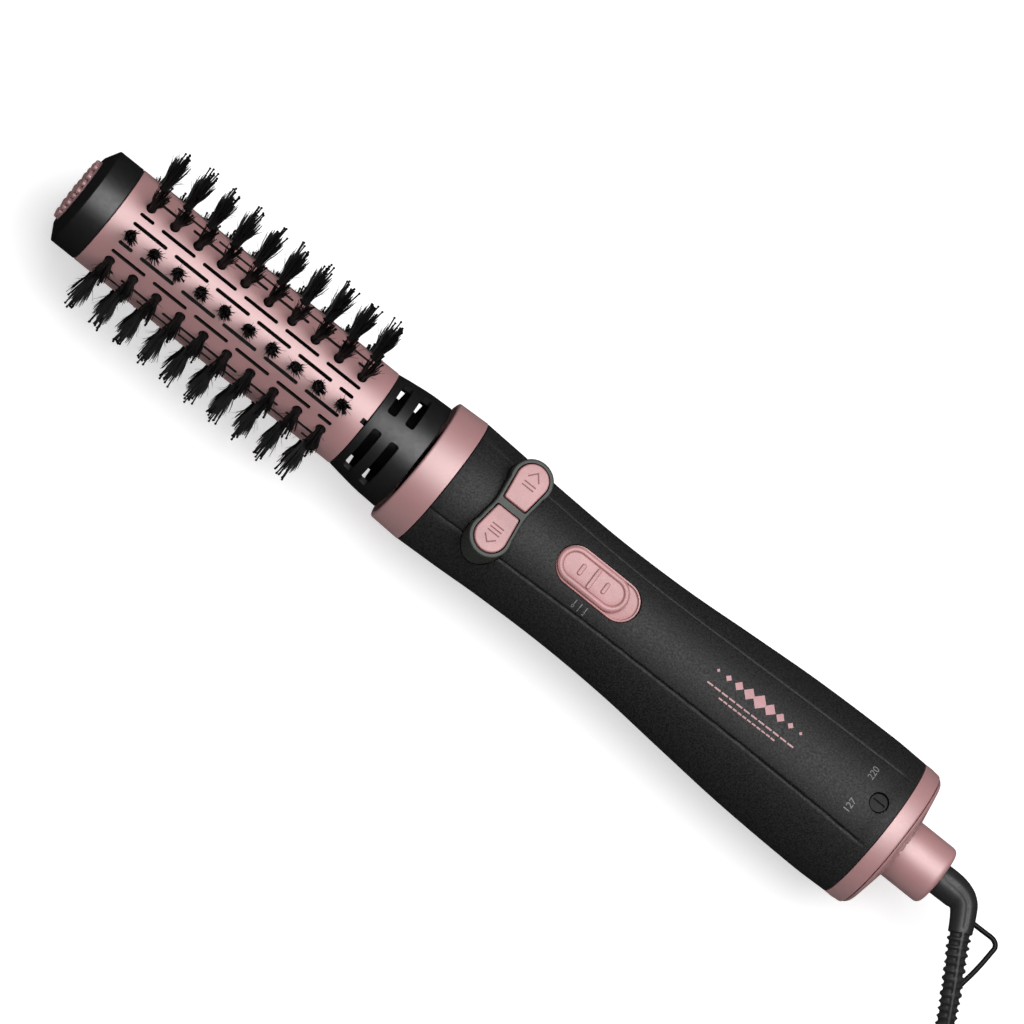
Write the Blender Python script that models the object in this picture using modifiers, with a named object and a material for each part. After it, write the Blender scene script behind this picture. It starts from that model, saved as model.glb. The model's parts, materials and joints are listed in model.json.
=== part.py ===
"""Hot air styling brush, built as an assembly of separate pieces.

The brush lies along X with its tip at +X, the control panel faces +Z, and the lowest bristle
tips touch z = 0.  Dimensions are in millimetres and become metres when a mesh is made.
A station is a distance from the front edge of the tip cap, measured towards the tail.
Angles around the brush start at the top and turn right-handed about +X.
"""

import math

import bmesh
import bpy
from mathutils import Matrix, Vector

MM = 0.001
GAP = 0.3

# Driving dimensions of the whole brush.
NOSE_STATION = -3.7
TAIL_STATION = 340.5
BARREL_RADIUS = 17.5
BRISTLE_TIP_RADIUS = 33.0

# Brush head.
BARREL_FRONT = 9.9
BARREL_REAR = 111.0
BARREL_WALL = 1.2
BARREL_SIDES = 30
ROW_COUNT = 10
ROW_PITCH = 360.0 / ROW_COUNT
FIRST_ROW_ANGLE = 18.0
TUFT_COUNT = 10
TUFT_PITCH = 9.28
FIRST_TUFT = 18.0
TUFT_HOLE = 3.2
TUFT_BELLY_RADIUS = 28.0
TUFT_ROOT_HALF = 1.0
TUFT_BELLY_HALF = 2.4
TUFT_TIP_HALF = 1.7
STRIP_TOP = 15.9
STRIP_THICKNESS = 1.2
STRIP_WIDTH = 3.0
SLOT_ANGLE = 12.0
SLOT_WIDTH = 1.2
SLOT_START = 16.2
LONG_SLOT = 13.3
SHORT_SLOT = 5.4
SLOT_GAP = 3.02
LONG_SLOTS = 5
NECK_SLOT_WIDTH = 3.3
NECK_SLOT_STATIONS = (115.5, 122.2)
NECK_SLOT_SPANS = ((4.5, 50.0), (-74.0, -15.5), (184.5, 230.0), (106.0, 164.5))

# Handle.
HANDLE_FRONT = 142.6
HANDLE_REAR = 315.0
HANDLE_OUTLINE = (
    (142.6, 22.6), (158.0, 21.9), (173.6, 21.0), (198.4, 20.4), (223.0, 21.05),
    (248.0, 22.9), (272.8, 24.6), (303.0, 25.45), (315.0, 25.15),
)
PANEL_OUTLINE = (
    (142.6, 13.3), (174.0, 11.7), (207.0, 10.6), (245.0, 10.8), (283.0, 11.4), (315.0, 12.1),
)
PANEL_FRONT = 146.0
PANEL_REAR = 308.0
PANEL_FADE = 7.0
PANEL_RISE = 0.8
SHELL_WALL = 2.0
SHELL_STEPS = 12
SPLIT_ANGLE = 89.6

# Two-button pod.
POD_STATION = 162.1
POD_TOP = 26.0
POD_LOBE_OFFSET = 10.95
POD_LOBE_RADIUS = 7.0
POD_WAIST = 5.6
POD_PLATE = 3.5
POD_WALL = 1.3
BUTTON_RADIUS = 5.3
BUTTON_INNER_EDGE = 1.5
BUTTON_INNER_HALF = 4.1
BUTTON_PROUD = 0.7
BUTTON_HEIGHT = 3.8

# Power slider: three positions, two steps.
SLIDER_STATION = 198.2
SLIDER_WINDOW = (31.0, 13.8)
SLIDER_KNOB = (26.0, 12.6)
SLIDER_REST_OFFSET = 2.1
SLIDER_TRAY_TOP = 19.6

# Voltage dial.
DIAL_STATION = 308.4
DIAL_HOLE_RADIUS = 3.35

# Planetary gearbox: the ring is fixed, the sun drives and the carrier turns the brush head.
GEAR_FRONT = 186.0
GEAR_REAR = 189.5
SUN_TEETH = 9
RING_TEETH = 27
PITCH_RADIUS = 3.0
RING_PITCH_RADIUS = 9.0
PLANET_ORBIT = 6.0
ADDENDUM = 0.5
DEDENDUM = 0.8
TOOTH_HALF_AT_ROOT = 0.42
TOOTH_HALF_AT_TIP = 0.17
PLANET_ANGLES = (0.0, 120.0, 240.0)

# Cord: the boot turns in the collar, then the cord drops to the floor and into its coil.
CORD_DIAMETER = 6.2
COIL_CENTRE = (-273.0, 41.0)
COIL_INNER = 26.5
COIL_OUTER = 45.5
COIL_BOTTOM = 0.8
COIL_TOP = 18.8
PIN_SPACING = 19.0
PIN_RADIUS = 2.0
PIN_LENGTH = 19.0
PLUG_SIZE = (26.0, 35.0, 13.4)

MIDDLE = (NOSE_STATION + TAIL_STATION) / 2
SIDE_LEAN = math.radians(FIRST_ROW_ANGLE)
AXIS_Z = BRISTLE_TIP_RADIUS * math.cos(SIDE_LEAN) + TUFT_TIP_HALF * math.sin(SIDE_LEAN)


def clear_scene():
    for item in list(bpy.data.objects):
        bpy.data.objects.remove(item, do_unlink=True)


clear_scene()
PARTS = bpy.data.collections.new("hot_air_brush")
CUTTERS = bpy.data.collections.new("cutters")
bpy.context.scene.collection.children.link(PARTS)
bpy.context.scene.collection.children.link(CUTTERS)


def finish(name, colour, roughness, metallic=0.0):
    """A Principled material."""
    material = bpy.data.materials.new(name)
    material.use_nodes = True
    shader = material.node_tree.nodes["Principled BSDF"]
    shader.inputs["Base Color"].default_value = (*colour, 1.0)
    shader.inputs["Roughness"].default_value = roughness
    shader.inputs["Metallic"].default_value = metallic
    material.diffuse_color = (*colour, 1.0)
    return material


ROSE = finish("rose_metal", (0.60, 0.33, 0.33), 0.32, 0.85)
GLOSS_BLACK = finish("gloss_black_plastic", (0.02, 0.02, 0.022), 0.22)
SOFT_BLACK = finish("soft_touch_plastic", (0.028, 0.028, 0.029), 0.62)
BEZEL = finish("bezel_plastic", (0.045, 0.055, 0.05), 0.42)
BRISTLE = finish("bristle_nylon", (0.015, 0.015, 0.015), 0.5)
INNER_PLASTIC = finish("inner_plastic", (0.35, 0.35, 0.33), 0.5)
STEEL = finish("steel", (0.55, 0.55, 0.56), 0.3, 1.0)
MICA = finish("mica", (0.55, 0.50, 0.40), 0.6)
BOARD = finish("circuit_board", (0.04, 0.18, 0.08), 0.5)
RUBBER = finish("cord_rubber", (0.02, 0.02, 0.02), 0.55)
BRASS = finish("pin_brass", (0.65, 0.50, 0.22), 0.3, 1.0)


def along(station):
    """X in metres of a station."""
    return (MIDDLE - station) * MM


def spot(station, y=0.0, z=0.0):
    """A point in metres from a station and distances from the brush axis."""
    return Vector((along(station), y * MM, (AXIS_Z + z) * MM))


def add_mesh(name, bm, material, matrix=Matrix()):
    mesh = bpy.data.meshes.new(name)
    bm.to_mesh(mesh)
    bm.free()
    thing = bpy.data.objects.new(name, mesh)
    PARTS.objects.link(thing)
    thing.matrix_world = matrix
    if material:
        mesh.materials.append(material)
    return thing


def hide_tool(thing):
    """Keep a cutter or a shape that was joined on out of the model."""
    for owner in list(thing.users_collection):
        owner.objects.unlink(thing)
    CUTTERS.objects.link(thing)
    thing.hide_render = True
    thing.display_type = "WIRE"


def combine(target, tool, operation):
    hide_tool(tool)
    modifier = target.modifiers.new(tool.name, "BOOLEAN")
    modifier.operation = operation
    modifier.solver = "EXACT"
    modifier.object = tool


def cut(target, *tools):
    for tool in tools:
        combine(target, tool, "DIFFERENCE")


def join(target, *tools):
    for tool in tools:
        combine(target, tool, "UNION")


def pivot(name, place):
    """An empty on a joint's axis."""
    empty = bpy.data.objects.new(name, None)
    empty.empty_display_size = 0.01
    PARTS.objects.link(empty)
    empty.location = place
    return empty


def hang_on(parent, *things):
    """Parent pieces to an empty without moving them."""
    for thing in things:
        thing.parent = parent
        thing.matrix_parent_inverse = Matrix.Translation(parent.location).inverted()


def lathe(name, profile, sides, material, centre=None, upright=False):
    """Turn a profile of (station or height, radius) points about the brush axis or a vertical one.

    A closed profile makes a ring; one that starts and ends at radius 0 makes a solid.
    Along the brush the outer side runs with rising stations, and upright ones run downwards.
    """
    bm = bmesh.new()
    verts = []
    for position, radius in profile:
        height = position * MM if upright else along(position)
        verts.append(bm.verts.new((radius * MM, 0.0, height)))
    for first, second in zip(verts, verts[1:]):
        bm.edges.new((first, second))
    if profile[0][1] > 0:
        bm.edges.new((verts[-1], verts[0]))
    if upright:
        matrix = Matrix.Translation(centre)
    else:
        matrix = Matrix.Translation(centre or (0, 0, AXIS_Z * MM)) @ Matrix.Rotation(math.pi / 2, 4, "Y")
    thing = add_mesh(name, bm, material, matrix)
    screw = thing.modifiers.new("turn", "SCREW")
    screw.steps = sides
    screw.render_steps = sides
    screw.use_merge_vertices = True
    screw.merge_threshold = 0.00001
    return thing


def tube(name, front, rear, outer, inner, sides, material, centre=None):
    """A ring or, when inner is 0, a round bar along the brush."""
    if inner == 0:
        profile = ((front, 0.0), (front, outer), (rear, outer), (rear, 0.0))
    else:
        profile = ((front, outer), (rear, outer), (rear, inner), (front, inner))
    return lathe(name, profile, sides, material, centre)


def stack(bm, outline, start, end, place):
    """Extrude a flat outline between two levels; place(u, v, level) gives each corner's point."""
    bottom = [bm.verts.new(place(u, v, start)) for u, v in outline]
    top = [bm.verts.new(place(u, v, end)) for u, v in outline]
    bm.faces.new(bottom)
    bm.faces.new(list(reversed(top)))
    count = len(outline)
    for index in range(count):
        after = (index + 1) % count
        bm.faces.new((bottom[after], bottom[index], top[index], top[after]))
    bmesh.ops.recalc_face_normals(bm, faces=bm.faces)


def upright_prism(name, outline, low, high, material):
    """An outline of (station, y) points raised from one height above the axis to another."""
    bm = bmesh.new()
    stack(bm, outline, low, high, lambda station, y, z: spot(station, y, z))
    return add_mesh(name, bm, material)


def long_prism(name, outline, front, rear, material):
    """An outline of (y, z) points across the brush, drawn out along it."""
    bm = bmesh.new()
    stack(bm, outline, front, rear, lambda y, z, station: spot(station, y, z))
    return add_mesh(name, bm, material)


def box(name, stations, across, heights, material):
    (left, right), (low, high) = across, heights
    corners = ((left, low), (right, low), (right, high), (left, high))
    return long_prism(name, corners, stations[0], stations[1], material)


def arc(centre, radius, start, end, count):
    """Points of an arc in degrees, ends included."""
    points = []
    for index in range(count + 1):
        angle = math.radians(start + (end - start) * index / count)
        points.append((centre[0] + radius * math.cos(angle), centre[1] + radius * math.sin(angle)))
    return points


def circle(centre, radius, count):
    """A full circle whose first corner is a little off the centre line."""
    start = 7.0
    return arc(centre, radius, start, start + 360.0 - 360.0 / count, count - 1)


def disc_cutter(name, station, y, radius, low, high, count=12):
    return upright_prism(name, circle((station, y), radius, count), low, high, None)


def stadium(station, length, width, count=6):
    """A slot-shaped outline along the brush."""
    radius = width / 2
    reach = length / 2 - radius
    return (arc((station + reach, 0.0), radius, -90.0, 90.0, count)
            + arc((station - reach, 0.0), radius, 90.0, 270.0, count))


def smooth_value(table, position):
    """A cubic curve through a table of (position, value) points."""
    for index in range(len(table) - 1):
        if position <= table[index + 1][0] or index == len(table) - 2:
            break
    (x0, y0), (x1, y1) = table[index], table[index + 1]
    before = table[max(index - 1, 0)]
    after = table[min(index + 2, len(table) - 1)]
    slope_in = (y1 - before[1]) / (x1 - before[0])
    slope_out = (after[1] - y0) / (after[0] - x0)
    width = x1 - x0
    t = (position - x0) / width
    return ((2 * t**3 - 3 * t**2 + 1) * y0 + (t**3 - 2 * t**2 + t) * width * slope_in
            + (3 * t**2 - 2 * t**3) * y1 + (t**3 - t**2) * width * slope_out)


def smooth_route(points, steps):
    """Points of a smooth curve through a route, with some steps between each two of its points."""
    route = [Vector(point) for point in points]
    padded = [2 * route[0] - route[1]] + route + [2 * route[-1] - route[-2]]
    result = []
    for a, b, c, d in zip(padded, padded[1:], padded[2:], padded[3:]):
        for step in range(steps):
            t = step / steps
            result.append(0.5 * (2 * b + (c - a) * t + (2 * a - 5 * b + 4 * c - d) * t * t
                                 + (3 * b - a - 3 * c + d) * t**3))
    result.append(route[-1])
    return result


def wire(name, points, radius, material, resolution=2, sizes=None, closed=False):
    """A round wire through points in metres; sizes scale its radius at each point."""
    curve = bpy.data.curves.new(name, "CURVE")
    curve.dimensions = "3D"
    curve.bevel_depth = radius * MM
    curve.bevel_resolution = resolution
    curve.resolution_u = 1
    curve.use_fill_caps = not closed
    spline = curve.splines.new("POLY")
    spline.points.add(len(points) - 1)
    spline.use_cyclic_u = closed
    for index, point in enumerate(points):
        spline.points[index].co = (*point, 1.0)
        spline.points[index].radius = sizes[index] if sizes else 1.0
    curve.materials.append(material)
    thing = bpy.data.objects.new(name, curve)
    PARTS.objects.link(thing)
    return thing


def around(radius, angle):
    """The (y, z) point at an angle around the brush axis."""
    turn = math.radians(angle)
    return (-radius * math.sin(turn), radius * math.cos(turn))


# ---------------------------------------------------------------- brush head

def radial_block(bm, station, length, angle, width, levels):
    """A four-sided spindle that stands on the axis; levels are (radius, scale of its half sizes)."""
    outward = Vector((0.0, *around(1.0, angle)))
    sideways = Vector((0.0, *around(1.0, angle + 90.0)))
    rings = []
    for radius, scale in levels:
        centre = spot(station) + outward * radius * MM
        along_half = Vector((length / 2 * scale * MM, 0.0, 0.0))
        side_half = sideways * width / 2 * scale * MM
        corners = ((-1, -1), (1, -1), (1, 1), (-1, 1))
        rings.append([bm.verts.new(centre + along_half * i + side_half * j) for i, j in corners])
    for lower, upper in zip(rings, rings[1:]):
        for index in range(4):
            after = (index + 1) % 4
            bm.faces.new((lower[index], lower[after], upper[after], upper[index]))
    bm.faces.new(list(reversed(rings[0])))
    bm.faces.new(rings[-1])


def row_angle(row):
    return FIRST_ROW_ANGLE + ROW_PITCH * row


def slot_lengths(short_first):
    lengths = [LONG_SLOT] * LONG_SLOTS
    return [SHORT_SLOT] + lengths if short_first else lengths + [SHORT_SLOT]


def make_barrel():
    """The perforated metal tube: tuft holes, and air slots on both sides of each row."""
    barrel = tube("barrel", BARREL_FRONT, BARREL_REAR, BARREL_RADIUS,
                  BARREL_RADIUS - BARREL_WALL, BARREL_SIDES, ROSE)
    bm = bmesh.new()
    through = ((BARREL_RADIUS - 3.0, 1.0), (BARREL_RADIUS + 2.0, 1.0))
    for row in range(ROW_COUNT):
        for tuft in range(TUFT_COUNT):
            radial_block(bm, FIRST_TUFT + TUFT_PITCH * tuft, TUFT_HOLE, row_angle(row), TUFT_HOLE, through)
        for side in (-1, 1):
            start = SLOT_START
            for length in slot_lengths(side < 0):
                radial_block(bm, start + length / 2, length, row_angle(row) + SLOT_ANGLE * side,
                             SLOT_WIDTH, through)
                start += length + SLOT_GAP
    bmesh.ops.recalc_face_normals(bm, faces=bm.faces)
    cut(barrel, add_mesh("barrel_openings", bm, None))
    return barrel


def make_bristle_row(row):
    """A strip under the barrel wall with its tufts standing out through the holes."""
    strip_middle = (BARREL_FRONT + BARREL_REAR) / 2 - 0.7
    bm = bmesh.new()
    radial_block(bm, strip_middle, 90.0, row_angle(row), STRIP_WIDTH,
                 ((STRIP_TOP - STRIP_THICKNESS, 1.0), (STRIP_TOP, 1.0)))
    bmesh.ops.recalc_face_normals(bm, faces=bm.faces)
    strip = add_mesh(f"bristle_row_{row + 1:02d}", bm, BRISTLE)
    bm = bmesh.new()
    root = 2 * TUFT_ROOT_HALF
    levels = (
        (STRIP_TOP - STRIP_THICKNESS / 2, 1.0),
        (TUFT_BELLY_RADIUS, TUFT_BELLY_HALF / TUFT_ROOT_HALF),
        (BRISTLE_TIP_RADIUS, TUFT_TIP_HALF / TUFT_ROOT_HALF),
    )
    for tuft in range(TUFT_COUNT):
        radial_block(bm, FIRST_TUFT + TUFT_PITCH * tuft, root, row_angle(row), root, levels)
    bmesh.ops.recalc_face_normals(bm, faces=bm.faces)
    join(strip, add_mesh(f"tufts_{row + 1:02d}", bm, None))
    return strip


def make_tip():
    """The cap that closes the barrel, and the studded insert, here at its outer size."""
    cap = lathe("tip_cap", (
        (-1.9, 12.6), (0.6, 17.1), (1.4, BARREL_RADIUS), (BARREL_FRONT - GAP, BARREL_RADIUS),
        (BARREL_FRONT - GAP, 15.9), (13.6, 15.9), (13.6, 14.0), (3.2, 14.0), (3.2, 6.0),
        (1.4, 6.0), (1.4, 12.0), (-1.9, 12.0),
    ), 24, GLOSS_BLACK)
    insert = lathe("tip_insert", (
        (NOSE_STATION, 0.0), (NOSE_STATION, 10.4), (-2.4, 11.7), (1.1, 11.7), (1.1, 0.0),
    ), 20, ROSE)
    return [cap, insert]


def sector_outline(inner, outer, start, end, count):
    outer_side = [around(outer, start + (end - start) * i / count) for i in range(count + 1)]
    inner_side = [around(inner, start + (end - start) * i / count) for i in range(count + 1)]
    return outer_side + inner_side[::-1]


def make_neck():
    """The slotted plastic neck behind the barrel and the duct that shows through its slots."""
    shell = lathe("neck_shell", (
        (BARREL_REAR + GAP, 17.4), (117.8, 18.3), (124.0, 18.95), (130.6, 19.2),
        (130.6, 17.2), (117.8, 16.5), (BARREL_REAR + GAP, 15.7),
    ), 24, GLOSS_BLACK)
    for index, station in enumerate(NECK_SLOT_STATIONS):
        for place, (start, end) in enumerate(NECK_SLOT_SPANS):
            outline = sector_outline(13.0, 22.0, start, end, 3)
            half = NECK_SLOT_WIDTH / 2
            cut(shell, long_prism(f"neck_slot_{index}{place}", outline, station - half, station + half, None))
    duct = tube("neck_duct", BARREL_REAR + GAP, 130.6, 11.2, 10.0, 20, INNER_PLASTIC)
    return [shell, duct]


def make_hub_and_shaft():
    """The spoked hub that drives the barrel, and the shaft from the gearbox."""
    hub = tube("head_hub", 106.2, 110.6, 15.8, 1.8, 24, INNER_PLASTIC)
    for index in range(4):
        y, z = around(8.8, 45.0 + 90.0 * index)
        cut(hub, long_prism(f"hub_hole_{index}", circle((y, z), 4.4, 9), 104.0, 113.0, None))
    shaft = tube("drive_shaft", 104.5, 185.2, 1.5, 0, 12, STEEL)
    return [hub, shaft]


def gear_outline(teeth, pitch, first_tooth, inward=False):
    """Four points for each straight-sided tooth, the tooth centred on first_tooth degrees."""
    sign = -1 if inward else 1
    root = pitch - sign * DEDENDUM
    tip = pitch + sign * ADDENDUM
    points = []
    for tooth in range(teeth):
        centre = first_tooth + 360.0 * tooth / teeth
        root_turn = math.degrees(TOOTH_HALF_AT_ROOT / root)
        tip_turn = math.degrees(TOOTH_HALF_AT_TIP / tip)
        for radius, turn in ((root, -root_turn), (tip, -tip_turn), (tip, tip_turn), (root, root_turn)):
            points.append(around(radius, centre + turn))
    return points


def make_gearbox():
    """Sun on the motor, three planets on the carrier's pins, and the ring inside the housing."""
    sun = long_prism("sun_gear", gear_outline(SUN_TEETH, PITCH_RADIUS, 0.0), GEAR_FRONT, GEAR_REAR, STEEL)
    join(sun, tube("sun_shaft", GEAR_FRONT + 1.0, 199.0, 0.9, 0, 10, None))
    carrier = tube("planet_carrier", 183.6, 185.4, 7.9, 1.8, 24, STEEL)
    planets = []
    for index, angle in enumerate(PLANET_ANGLES):
        y, z = around(PLANET_ORBIT, angle)
        centre = Vector((0.0, y * MM, (AXIS_Z + z) * MM))
        join(carrier, tube(f"planet_pin_{index + 1}", 184.5, GEAR_REAR, 0.9, 0, 10, None, centre))
        tooth_points = gear_outline(SUN_TEETH, PITCH_RADIUS, angle)
        outline = [(u + y, v + z) for u, v in tooth_points]
        planet = long_prism(f"planet_gear_{index + 1}", outline, GEAR_FRONT, GEAR_REAR, INNER_PLASTIC)
        cut(planet, tube(f"planet_bore_{index + 1}", 185.0, 191.0, 1.25, 0, 10, None, centre))
        planets.append(planet)
    housing = lathe("gearbox_housing", (
        (183.0, 10.9), (194.5, 10.9), (194.5, 1.6), (190.4, 1.6), (190.4, 8.2), (183.0, 8.2),
    ), 24, INNER_PLASTIC)
    half_gap = 180.0 / RING_TEETH
    tooth_space = gear_outline(RING_TEETH, RING_PITCH_RADIUS, half_gap, inward=True)
    cut(housing, long_prism("ring_tooth_space", tooth_space, 182.0, 190.0, None))
    return sun, carrier, planets, housing


# ---------------------------------------------------------------- handle

def panel_rise(station):
    """Height of the raised panel over the round handle."""
    front = (station - PANEL_FRONT + PANEL_FADE) / PANEL_FADE
    rear = (PANEL_REAR + PANEL_FADE - station) / PANEL_FADE
    return PANEL_RISE * min(max(min(front, rear), 0.0), 1.0)


def shell_point(station, angle, lift):
    radius = smooth_value(HANDLE_OUTLINE, station) + lift
    y, z = around(radius, angle)
    return spot(station, y, z)


def upper_columns(station):
    """Angles and lifts across the upper shell, the raised panel's edges among them."""
    radius = smooth_value(HANDLE_OUTLINE, station)
    edge = math.degrees(math.asin(smooth_value(PANEL_OUTLINE, station) / radius))
    foot = edge + 3.2
    rise = panel_rise(station)
    sides = [(foot + (SPLIT_ANGLE - foot) * step / 4, 0.0) for step in range(5)]
    half = [(0.0, rise), (edge, rise)] + sides
    return [(-angle, lift) for angle, lift in half[:0:-1]] + half


def lower_columns(_station):
    count = 10
    span = 360.0 - 2 * SPLIT_ANGLE
    return [(SPLIT_ANGLE + span * step / count, 0.0) for step in range(count + 1)]


def make_shell(name, columns):
    """Half of the handle, lofted through sections that carry both skins of its wall."""
    bm = bmesh.new()
    loops = []
    for step in range(SHELL_STEPS + 1):
        station = HANDLE_FRONT + (HANDLE_REAR - HANDLE_FRONT) * step / SHELL_STEPS
        across = columns(station)
        outside = [shell_point(station, angle, lift) for angle, lift in across]
        inside = [shell_point(station, angle, lift - SHELL_WALL) for angle, lift in reversed(across)]
        loops.append([bm.verts.new(point) for point in outside + inside])
    count = len(loops[0])
    for loop, following in zip(loops, loops[1:]):
        for index in range(count):
            after = (index + 1) % count
            bm.faces.new((loop[after], loop[index], following[index], following[after]))
    for end in (loops[0], loops[-1]):
        for index in range(count // 2 - 1):
            bm.faces.new((end[index], end[index + 1], end[count - 2 - index], end[count - 1 - index]))
    bmesh.ops.recalc_face_normals(bm, faces=bm.faces)
    return add_mesh(name, bm, SOFT_BLACK)


def pod_outline(grow):
    """Two round lobes with a gentle waist, along the width of the handle."""
    radius = POD_LOBE_RADIUS + grow
    waist = POD_WAIST + grow
    lobe = arc((POD_STATION, POD_LOBE_OFFSET), radius, -25.0, 205.0, 10)
    side = [(POD_STATION - waist - 0.2, 4.0), (POD_STATION - waist, 0.0), (POD_STATION - waist - 0.2, -4.0)]
    other_lobe = arc((POD_STATION, -POD_LOBE_OFFSET), radius, 155.0, 385.0, 10)
    other_side = [(POD_STATION + waist + 0.2, -4.0), (POD_STATION + waist, 0.0),
                  (POD_STATION + waist + 0.2, 4.0)]
    return lobe + side + other_lobe + other_side


def button_outline(side, grow):
    """A round lobe whose inner end is a straight edge."""
    lobe = arc((POD_STATION, side * POD_LOBE_OFFSET), BUTTON_RADIUS + grow, -10.0 * side, 190.0 * side, 10)
    inner = side * (BUTTON_INNER_EDGE - grow)
    half = BUTTON_INNER_HALF + grow
    return lobe + [(POD_STATION - half, inner), (POD_STATION + half, inner)]


def make_pod():
    """The bezel with its two buttons over their switches and board."""
    bezel = upright_prism("button_bezel", pod_outline(0.0), 5.0, POD_TOP, BEZEL)
    cut(bezel, upright_prism("pod_cavity", pod_outline(-POD_WALL), 4.0, POD_TOP - POD_PLATE, None),
        tube("pod_saddle", 150.0, 175.0, 16.9, 0, 28, None))
    buttons = []
    switches = []
    for index, side in enumerate((-1, 1)):
        well = button_outline(side, 0.35)
        cut(bezel, upright_prism(f"button_well_{index}", well, 20.0, POD_TOP + 2.0, None))
        top = POD_TOP + BUTTON_PROUD
        name = ("forward_button", "reverse_button")[index]
        buttons.append(upright_prism(name, button_outline(side, 0.0), top - BUTTON_HEIGHT, top, ROSE))
        centre = side * POD_LOBE_OFFSET
        switch = box(f"tact_switch_{index + 1}", (POD_STATION - 3, POD_STATION + 3),
                     (centre - 3, centre + 3), (18.6, 20.9), INNER_PLASTIC)
        join(switch, disc_cutter(f"plunger_{index + 1}", POD_STATION, centre, 1.7, 20.0, 21.6))
        switches.append(switch)
    board = box("button_board", (POD_STATION - 3.8, POD_STATION + 3.8), (-13.5, 13.5), (17.2, 18.3), BOARD)
    return bezel, buttons, switches, board


def make_slider():
    """The knob slides on a tray in the panel's window; its stem reaches the switch below."""
    tray = upright_prism("slider_tray", stadium(SLIDER_STATION, SLIDER_WINDOW[0] - 2 * GAP,
                                                SLIDER_WINDOW[1] - 2 * GAP), 18.4, SLIDER_TRAY_TOP, ROSE)
    cut(tray, upright_prism("tray_slot", stadium(SLIDER_STATION, 10.0, 3.0, 4), 17.0, 21.0, None))
    rest = SLIDER_STATION - SLIDER_REST_OFFSET
    knob = upright_prism("slider_knob", stadium(rest, *SLIDER_KNOB), SLIDER_TRAY_TOP + GAP, 22.3, ROSE)
    stem = ((rest - 1.5, -1.1), (rest + 1.5, -1.1), (rest + 1.5, 1.1), (rest - 1.5, 1.1))
    join(knob, upright_prism("knob_stem", stem, 15.4, 21.0, None))
    cut(knob, upright_prism("knob_dish", stadium(rest, SLIDER_KNOB[0] - 3.2, SLIDER_KNOB[1] - 3.2),
                            21.4, 23.0, None))
    bars = []
    for index, length in enumerate((4.3, 8.0, 4.3)):
        centre = rest + 4.7 * (index - 1)
        bars.append(box(f"grip_bar_{index}", (centre - 0.75, centre + 0.75),
                        (-length / 2, length / 2), (21.0, 22.3), None))
    join(knob, *bars)
    switch = box("slide_switch", (SLIDER_STATION - 8, SLIDER_STATION + 8), (-4, 4), (13.2, 15.1),
                 INNER_PLASTIC)
    return tray, knob, switch


def make_dial():
    """The voltage dial, turned with a coin, over its switch."""
    dial = upright_prism("voltage_dial", circle((DIAL_STATION, 0.0), DIAL_HOLE_RADIUS - GAP, 16),
                         19.8, 25.4, GLOSS_BLACK)
    cut(dial, box("coin_slot", (DIAL_STATION - 5, DIAL_STATION + 5), (-0.5, 0.5), (24.4, 27.0), None))
    switch = box("voltage_switch", (DIAL_STATION - 4.5, DIAL_STATION + 4.5), (-5, 5), (15.0, 19.4),
                 INNER_PLASTIC)
    return dial, switch


def make_handle():
    """Both halves of the casing, with the windows, the screw post and the screw."""
    upper = make_shell("upper_shell", upper_columns)
    lower = make_shell("lower_shell", lower_columns)
    cut(upper,
        upright_prism("pod_window", pod_outline(GAP), 2.0, 40.0, None),
        upright_prism("slider_window", stadium(SLIDER_STATION, *SLIDER_WINDOW), 10.0, 40.0, None),
        disc_cutter("dial_window", DIAL_STATION, 0.0, DIAL_HOLE_RADIUS, 10.0, 40.0, 16))
    post = 238.0
    join(lower, disc_cutter("lower_post", post, 0.0, 4.0, -21.0, -0.15))
    cut(lower, disc_cutter("screw_bore", post, 0.0, 1.6, -25.0, 2.0),
        disc_cutter("screw_counterbore", post, 0.0, 3.1, -25.0, -17.0))
    join(upper, disc_cutter("upper_post", post, 0.0, 4.0, 0.15, 21.0))
    cut(upper, disc_cutter("screw_thread", post, 0.0, 1.6, -1.0, 9.0))
    screw = disc_cutter("shell_screw", post, 0.0, 2.7, -19.0, -17.3)
    screw.data.materials.append(STEEL)
    join(screw, disc_cutter("screw_shank", post, 0.0, 1.25, -18.0, 8.0))
    return upper, lower, screw


def make_front_ring():
    """The metal ring at the front of the handle, with the bearing plate and its bush."""
    ring = lathe("front_ring", (
        (131.5, 21.5), (132.3, 22.25), (142.3, 22.7), (142.3, 20.6), (133.5, 20.6),
        (133.5, 19.6), (131.5, 19.6),
    ), 28, ROSE)
    plate = tube("bearing_plate", 136.5, 139.5, 20.2, 4.6, 28, INNER_PLASTIC)
    for index in range(6):
        y, z = around(12.4, 60.0 * index)
        cut(plate, long_prism(f"air_hole_{index}", circle((y, z), 4.2, 9), 135.0, 141.0, None))
    bush = tube("front_bearing", 135.6, 140.4, 4.3, 1.8, 16, BRASS)
    return ring, plate, bush


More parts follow.
